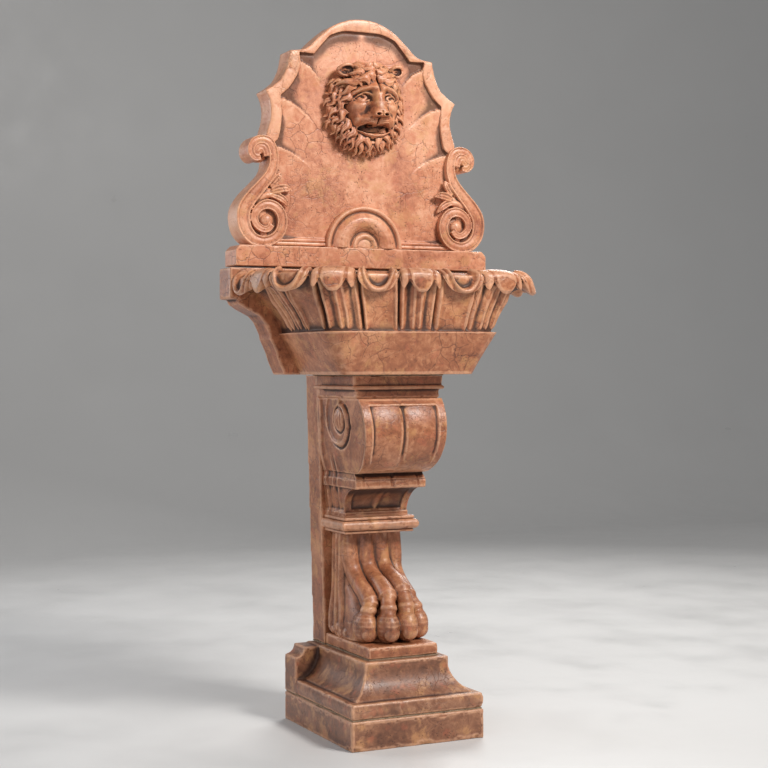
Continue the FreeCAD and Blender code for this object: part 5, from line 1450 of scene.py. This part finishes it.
weather(shank_stone, 0.7, 67)
apply_modifier(shank_stone, "DECIMATE", ratio=0.5)
finish_stone(shank_stone, pedestal_marble, "console_leg", 22, 3.0)

# %% [markdown]
# The hidden and metal pieces keep their CAD shapes. Their finishes are plain
# ones: crumbly mortar, brushed steel, dulled brass and copper, and rubber.

# %% Mortar, metal and rubber


def mortar():
    graph = Graph("lime_mortar")
    where = graph.node("ShaderNodeTexCoord", {}, {}, 3)
    lumps = graph.noise(where, 90.0, 5.0, 0.7)
    sand = graph.noise(where, 700.0, 2.0, 0.6)
    stops = [(0.35, tone(96, 78, 62)), (0.55, tone(150, 128, 104)), (0.7, tone(178, 158, 134))]
    colour = graph.node("ShaderNodeValToRGB", {"stops": stops}, {"Fac": lumps * 0.7 + sand * 0.3})
    relief = {"Strength": 0.8, "Distance": 0.002, "Height": lumps + sand * 0.5}
    bump = graph.node("ShaderNodeBump", {}, relief)
    return graph.finish(Base_Color=colour, Roughness=sand * 0.2 + 0.75, Normal=bump)


def metal(name, dark, bright, smoothness, stretch):
    """A metal with fine brushing along one axis and a little tarnish."""
    graph = Graph(name)
    where = graph.node("ShaderNodeTexCoord", {}, {}, 3)
    along = graph.node("ShaderNodeMapping", {}, {"Vector": where, "Scale": stretch})
    lines = graph.noise(along, 900.0, 2.0, 0.5)
    stain = graph.noise(where, 60.0, 4.0, 0.6)
    colour = graph.mix(stain.above(0.42, 0.25), dark, bright)
    rough = lines * 0.16 + (1 - stain) * 0.2 + smoothness
    bump = graph.node("ShaderNodeBump", {}, {"Strength": 0.15, "Distance": 0.0002, "Height": lines})
    graph.shader.inputs["Metallic"].default_value = 1.0
    return graph.finish(Base_Color=colour, Roughness=rough, Normal=bump)


def rubber():
    graph = Graph("seal_rubber")
    where = graph.node("ShaderNodeTexCoord", {}, {}, 3)
    dust = graph.noise(where, 240.0, 4.0, 0.6)
    colour = graph.mix(dust.above(0.5, 0.3), tone(30, 29, 28), tone(60, 57, 54))
    bump = graph.node("ShaderNodeBump", {}, {"Strength": 0.3, "Distance": 0.0003, "Height": dust})
    return graph.finish(Base_Color=colour, Roughness=dust * 0.25 + 0.65, Normal=bump)


finishes = {
    "lime_mortar": mortar(),
    "stainless_steel": metal("stainless_steel", tone(120, 118, 114), tone(178, 177, 172), 0.22,
                             (1, 1, 0.05)),
    "brass": metal("aged_brass", tone(120, 86, 40), tone(190, 150, 82), 0.2, (1, 1, 0.1)),
    "copper_tube": metal("copper_tube", tone(110, 62, 42), tone(184, 112, 80), 0.22, (1, 1, 0.1)),
    "rubber": rubber(),
    "red_marble": pedestal_marble,
}
for part in frame["record"]["subparts"]:
    shell = frame["nodes"][part["node"]]
    shell.data.materials.clear()
    shell.data.materials.append(finishes[part["material_slot"]])
print("finishes", sorted(finishes))

# %% The floor's finish
floor_graph = Graph("pale_floor")
floor_where = floor_graph.node("ShaderNodeTexCoord", {}, {}, 3)
floor_clouds = floor_graph.noise(floor_where, 1.5)
floor_tone = floor_graph.mix(floor_clouds, (0.60, 0.60, 0.60, 1), (0.64, 0.64, 0.64, 1))
floor_sheen = floor_graph.noise(floor_where, 3.0)
floor.data.materials.append(floor_graph.finish(Base_Color=floor_tone, Roughness=floor_sheen))
print("floor finish ready")
